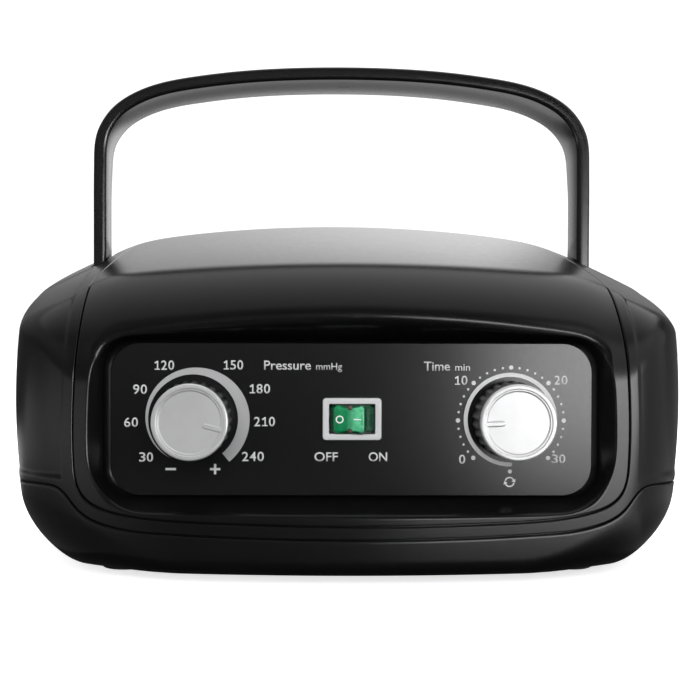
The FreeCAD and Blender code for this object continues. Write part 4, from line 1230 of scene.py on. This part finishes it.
def band(name, c, inner, outer, angs):
    """Printed band between two radius laws, at the given angles in degrees."""
    V, F = [], []
    for a in angs:
        t = math.radians(a)
        for r, y in ((inner(a), PY - 0.02), (outer(a), PY - 0.02), (outer(a), PY - 0.002), (inner(a), PY - 0.002)):
            V.append((c[0] + r * math.cos(t), y, c[1] + r * math.sin(t)))
    for i in range(len(angs) - 1):
        for k in range(4):
            F.append((i * 4 + k, i * 4 + 4 + k, i * 4 + 4 + (k + 1) % 4, i * 4 + (k + 1) % 4))
    F.append((0, 1, 2, 3))
    k = (len(angs) - 1) * 4
    F.append((k + 3, k + 2, k + 1, k))
    return new_object(name, V, F, smooth=False)


def crescent_width(a):
    """Radial width of the dial's printed band."""
    return float(pchip([-50, 0, 90, 180, 210, 225, 240], [3.9, 4.17, 2.4, 0.96, 0.6, 0.35, 0.03], np.array([a]))[0])


cres = band("dial_crescent", (LX + 0.1, DZ), lambda a: 16.07, lambda a: 16.07 + crescent_width(a), np.linspace(-49.5, 240, 220))
part(cres, "print_dial", "housing", "panel_black")
path = [(RX + 16.125 * math.cos(math.radians(a)), DZ + 16.125 * math.sin(math.radians(a)), a) for a in np.linspace(-45, 270, 260)]
outer_ = [(x + 0.725 * math.cos(math.radians(a)), z + 0.725 * math.sin(math.radians(a))) for x, z, a in path]
inner_ = [(x - 0.725 * math.cos(math.radians(a)), z - 0.725 * math.sin(math.radians(a))) for x, z, a in path]
ex, ez = path[-1][0], path[-1][1]


def strip_print(name, outs, ins):
    """Printed strip between two open polylines of the same count."""
    V, F = [], []
    for (xa, za), (xb, zb) in zip(outs, ins):
        V += [(xa, PY - 0.02, za), (xb, PY - 0.02, zb), (xb, PY - 0.002, zb), (xa, PY - 0.002, za)]
    for i in range(len(outs) - 1):
        for k in range(4):
            F.append((i * 4 + k, i * 4 + 4 + k, i * 4 + 4 + (k + 1) % 4, i * 4 + (k + 1) % 4))
    F += [(0, 1, 2, 3), tuple(len(V) - 4 + k for k in (3, 2, 1, 0))]
    return new_object(name, V, F, smooth=False)


rb_ = [strip_print("time_ring", outer_, inner_)]
half = 9
eo = [(ex + 0.725 * math.sin(math.radians(t)), ez - 0.725 * math.cos(math.radians(t))) for t in np.linspace(0, 88, half)]
ei = [(ex + 0.725 * math.sin(math.radians(t)), ez + 0.725 * math.cos(math.radians(t))) for t in np.linspace(0, 88, half)]
rb_.append(strip_print("time_ring_end", eo, ei))
part(join("time_ring", rb_), "print", "housing", "panel_black")


def dot(x, z, r):
    return flat("dot", [(x + r * math.cos(2 * math.pi * i / 28), z + r * math.sin(2 * math.pi * i / 28)) for i in range(28)])


dots = []
for i in range(31):
    a = math.radians(225 - 9 * i)
    dots.append(dot(RX + 0.15 + 19.05 * math.cos(a), DZ - 0.3 + 19.05 * math.sin(a), 0.8 if i % 5 == 0 else 0.43))
dots.append(dot(to_x(510.3), to_z(510.3, 472.4), 0.75))
part(join("time_dots", dots), "print", "housing", "panel_black")
cxs, czs = to_x(510.0), to_z(510.0, 483.0)
arr = []
for s in (0, 180):
    a0, a1 = 25 + s, 165 + s
    arr.append(band("arc", (cxs, czs), lambda a: 1.35, lambda a: 1.85, np.linspace(a0, a1, 24)))
    t = math.radians(a0)
    hx, hz = cxs + 1.6 * math.cos(t), czs + 1.6 * math.sin(t)
    tx, tz = math.sin(t), -math.cos(t)
    rx_, rz_ = math.cos(t), math.sin(t)
    arr.append(flat("head", [(hx + rx_ * 0.85, hz + rz_ * 0.85), (hx - rx_ * 0.85, hz - rz_ * 0.85), (hx + tx * 1.05, hz + tz * 1.05)]))
part(join("repeat_mark", arr), "print", "housing", "panel_black")
mp = flat("minus", [(LX - 7.9 - 1.85, DZ - 17.9 - 0.4), (LX - 7.9 + 1.85, DZ - 17.9 - 0.4), (LX - 7.9 + 1.85, DZ - 17.9 + 0.4), (LX - 7.9 - 1.85, DZ - 17.9 + 0.4)])
px_, pz_ = LX + 8.0, DZ - 17.9
pl = [(-1.85, -0.42), (-0.42, -0.42), (-0.42, -1.85), (0.42, -1.85), (0.42, -0.42), (1.85, -0.42), (1.85, 0.42), (0.42, 0.42), (0.42, 1.85), (-0.42, 1.85), (-0.42, 0.42), (-1.85, 0.42)]
pp = flat("plus", [(px_ + a, pz_ + b) for a, b in pl])
part(join("dial_signs", [mp, pp]), "print", "housing", "panel_black")
part(join("panel_lettering", PRN), "print", "housing", "panel_black")

# ------------------------------------------------------------------ floor, light, camera
def glow_mat(name, ramps, albedo=0.0):
    """Studio white that gives light of its own. The strength is the product of ramps (axis, from, to, value, value) in metres."""
    m = bpy.data.materials.new(name)
    m.use_nodes = True
    N, L = m.node_tree.nodes, m.node_tree.links
    b = N["Principled BSDF"]
    b.inputs["Base Color"].default_value = (albedo, albedo, albedo, 1)
    b.inputs["Roughness"].default_value = 0.8
    b.inputs["Specular IOR Level"].default_value = 0.1 if albedo else 0.0
    b.inputs["Emission Color"].default_value = (1, 1, 1, 1)
    tc = N.new("ShaderNodeTexCoord")
    ln = N.new("ShaderNodeVectorMath")
    ln.operation = "LENGTH"
    L.new(tc.outputs["Object"], ln.inputs[0])
    xyz = N.new("ShaderNodeSeparateXYZ")
    L.new(tc.outputs["Object"], xyz.inputs[0])
    ab = N.new("ShaderNodeMath")
    ab.operation = "ABSOLUTE"
    L.new(xyz.outputs["X"], ab.inputs[0])
    src = {"r": ln.outputs["Value"], "x": xyz.outputs["X"], "y": xyz.outputs["Y"], "z": xyz.outputs["Z"], "ax": ab.outputs[0]}
    out = None
    for axis, lo, hi, v0, v1 in ramps:
        r = N.new("ShaderNodeMapRange")
        r.interpolation_type = "SMOOTHSTEP"
        r.inputs["From Min"].default_value = lo
        r.inputs["From Max"].default_value = hi
        r.inputs["To Min"].default_value = v0
        r.inputs["To Max"].default_value = v1
        L.new(src[axis], r.inputs["Value"])
        if out is None:
            out = r.outputs["Result"]
        else:
            k = N.new("ShaderNodeMath")
            k.operation = "MULTIPLY"
            L.new(out, k.inputs[0])
            L.new(r.outputs["Result"], k.inputs[1])
            out = k.outputs[0]
    L.new(out, b.inputs["Emission Strength"])
    return m


def card(o, ramps):
    """A lit card that shows in reflections and nowhere else."""
    m = glow_mat(o.name + "_glow", ramps)
    m.cycles.emission_sampling = "NONE"
    o.data.materials.append(m)
    o.visible_camera = o.visible_diffuse = o.visible_shadow = False


def wall(nm, r, a0, a1, zs, m=49):
    """Upright curved sheet; angles in degrees from the front (-Y), to the right (+X)."""
    V, F = [], []
    for i in range(m):
        a = math.radians(a0 + (a1 - a0) * i / (m - 1))
        V += [(r * math.sin(a), -r * math.cos(a), z) for z in zs]
    q = len(zs)
    for i in range(m - 1):
        for k in range(q - 1):
            F.append((i * q + k, (i + 1) * q + k, (i + 1) * q + k + 1, i * q + k + 1))
    return new_object(nm, V, F, scale=1.0)


def sheet(nm, x0, x1, y0, y1, z):
    return new_object(nm, [(x0, y0, z), (x1, y0, z), (x1, y1, z), (x0, y1, z)], [(0, 1, 2, 3)], scale=1.0)


def stage():
    """Round pale floor inside a white cyclorama, open above, and the cards that give the black plastic its sheen."""
    R, n = 4.4, 96
    rr = [0.0, 0.3, 0.6, 1.0, 1.6, 2.4, 3.4, R]
    V, F = [(0, 0, 0)], []
    for r in rr[1:]:
        V += [(r * math.cos(2 * math.pi * i / n), r * math.sin(2 * math.pi * i / n), 0) for i in range(n)]
    for i in range(n):
        j = (i + 1) % n
        F.append((0, 1 + i, 1 + j))
        for k in range(len(rr) - 2):
            F.append((1 + k * n + i, 1 + (k + 1) * n + i, 1 + (k + 1) * n + j, 1 + k * n + j))
    o = new_object("floor_disc", V, F, scale=1.0)
    # the floor's own glow is weaker close to the object: painted shade round its foot, besides the shadow the lamps
    # cast
    o.data.materials.append(glow_mat("floor_white", [("r", 0.16, 0.6, 0.72, 1.0)], 0.80))
    o.visible_glossy = o.visible_diffuse = False
    o = wall("cyclorama", R, 0, 360, [0.0, 0.5, 1.2, 1.8, 2.6, 3.6, 5.0], 97)
    o.data.materials.append(glow_mat("cyclorama_white", [("z", 1.8, 3.6, 1.0, 0.7)], 0.3))
    o.visible_glossy = False
    # behind: a narrow white sweep, a little brighter to the right
    o = wall("card_back", R - 0.1, 140, 220, [-1.6, -0.3, 0.6, 1.5, 3.0, 5.2], 97)
    card(o, [("x", -1.0, 0.9, 1.0, 1.85), ("ax", 0.85, 1.35, 1.0, 0.32), ("ax", 1.5, 2.6, 1.0, 0.0), ("z", -0.4, 0.1, 0.16, 0.62), ("z", 0.4, 2.0, 1.0, 1.6)])
    # above: a wide soft box, weaker in front and to the left
    o = sheet("card_top", -3.2, 3.2, -2.4, 4.4, 2.7)
    card(o, [("y", -2.2, 1.0, 0.10, 1.0), ("x", -2.2, 1.8, 0.70, 1.25)])
    # right: the low window that lights panel and dials, then its dim surroundings
    o = wall("card_key", 2.4, 10.5, 62, [-0.28, -0.1, 0.02, 0.15, 0.30])
    card(o, [("z", -0.28, -0.04, 1.3, 10.6), ("z", 0.13, 0.30, 1.0, 0.35), ("x", 0.55, 1.2, 1.0, 0.96)])
    card(wall("card_key_upper", 2.45, 36, 80, [0.24, 0.6, 1.3, 2.0]), [("z", 0.3, 1.9, 0.5, 0.9)])
    card(wall("card_right", 2.5, 62, 106, [-0.3, 0.3, 1.2, 2.0]), [("z", -0.3, 0.8, 0.38, 0.62)])
    card(wall("card_right_rear", 2.5, 106, 150, [-0.3, 0.3, 1.2]), [("z", -0.3, 0.6, 0.20, 0.15)])
    # the floor as gloss sees it: dark close by on the left and in front, pale far off and on the right
    for nm, r0, r1, a0, a1, ramps in (
            ("card_floor_front", 0.13, 0.40, 0, 62, [("x", 0.06, 0.21, 0.03, 1.15), ("r", 0.13, 0.19, 0.25, 1.0)]),
            ("card_floor_right", 0.13, 1.6, 62, 106, [("r", 0.13, 0.26, 0.12, 0.40)]),
            ("card_floor_right_rear", 0.13, 1.6, 106, 150, [("r", 0.13, 0.3, 0.10, 0.20)]),
            ("card_floor_front_left", 0.13, 0.40, -32, 0, [("r", 0.13, 0.19, 0.04, 0.10)]),
            ("card_floor_back", 0.13, 0.60, 150, 248, [("r", 0.15, 0.40, 0.12, 0.8)]),
            ("card_floor_left", 0.13, 2.4, -112, -32, [("r", 0.24, 0.46, 0.15, 1.0), ("y", -0.5, 0.0, 1.25, 0.62)])):
        V = []
        for i in range(33):
            t = math.radians(a0 + (a1 - a0) * i / 32)
            V += [(r0 * math.sin(t), -r0 * math.cos(t), 0.0006), (r1 * math.sin(t), -r1 * math.cos(t), 0.0006)]
        card(new_object(nm, V, [(2 * i, 2 * i + 1, 2 * i + 3, 2 * i + 2) for i in range(32)], scale=1.0), ramps)
    # left: dim air
    card(wall("card_left_upper", 2.4, -150, -40, [-0.04, 0.6, 1.3, 2.0]), [("z", 0.1, 1.4, 0.06, 0.26)])
    card(wall("card_front", 2.4, -30, 6, [-0.02, 0.4, 1.0]), [("z", 0.0, 0.8, 0.16, 0.16)])


stage()


def area(name, loc, target, size, power, size_y=None, color=(1, 1, 1)):
    l = bpy.data.lights.new(name, "AREA")
    l.energy = power
    l.shape = "RECTANGLE"
    l.size = size
    l.size_y = size_y or size
    l.color = color
    o = bpy.data.objects.new(name, l)
    bpy.context.scene.collection.objects.link(o)
    o.location = loc
    o.rotation_euler = (Vector(target) - Vector(loc)).to_track_quat("-Z", "Y").to_euler()
    # lights the matt surfaces only, without a mirror image of the lamp
    o.visible_glossy = False
    return o


area("top_soft", (0.0, 0.25, 2.2), (0, 0.1, 0.1), 2.4, 50, 1.8)
area("front_fill", (-0.1, -2.6, 1.1), (0, 0, 0.08), 2.2, 42, 1.4)
w = bpy.data.worlds.new("studio")
w.use_nodes = True
w.node_tree.nodes["Background"].inputs["Color"].default_value = (0.95, 0.97, 1.0, 1)
w.node_tree.nodes["Background"].inputs["Strength"].default_value = 0.03
bpy.context.scene.world = w
bpy.context.scene.view_settings.view_transform = "Standard"
bpy.context.scene.view_settings.look = "None"

cam = bpy.data.cameras.new("photo_view")
co = bpy.data.objects.new("photo_view", cam)
bpy.context.scene.collection.objects.link(co)
cam.sensor_width = 36.0
cam.sensor_fit = "HORIZONTAL"
cam.lens = 1313.0 / 700 * 36
cam.shift_x = (350 - 302.4) / 700
cam.shift_y = -(350 - 359.5) / 700
yaw, pitch, roll = math.radians(0.839), math.radians(1.233), math.radians(0.144)
fwd = Vector((math.sin(yaw) * math.cos(pitch), math.cos(yaw) * math.cos(pitch), -math.sin(pitch)))
right = Vector((math.cos(yaw), -math.sin(yaw), 0))
up = right.cross(fwd)
r2 = right * math.cos(roll) + up * math.sin(roll)
u2 = -right * math.sin(roll) + up * math.cos(roll)
co.matrix_world = Matrix(((r2.x, u2.x, -fwd.x, -0.0247), (r2.y, u2.y, -fwd.y, -0.556), (r2.z, u2.z, -fwd.z, 0.08928), (0, 0, 0, 1)))
bpy.context.scene.camera = co
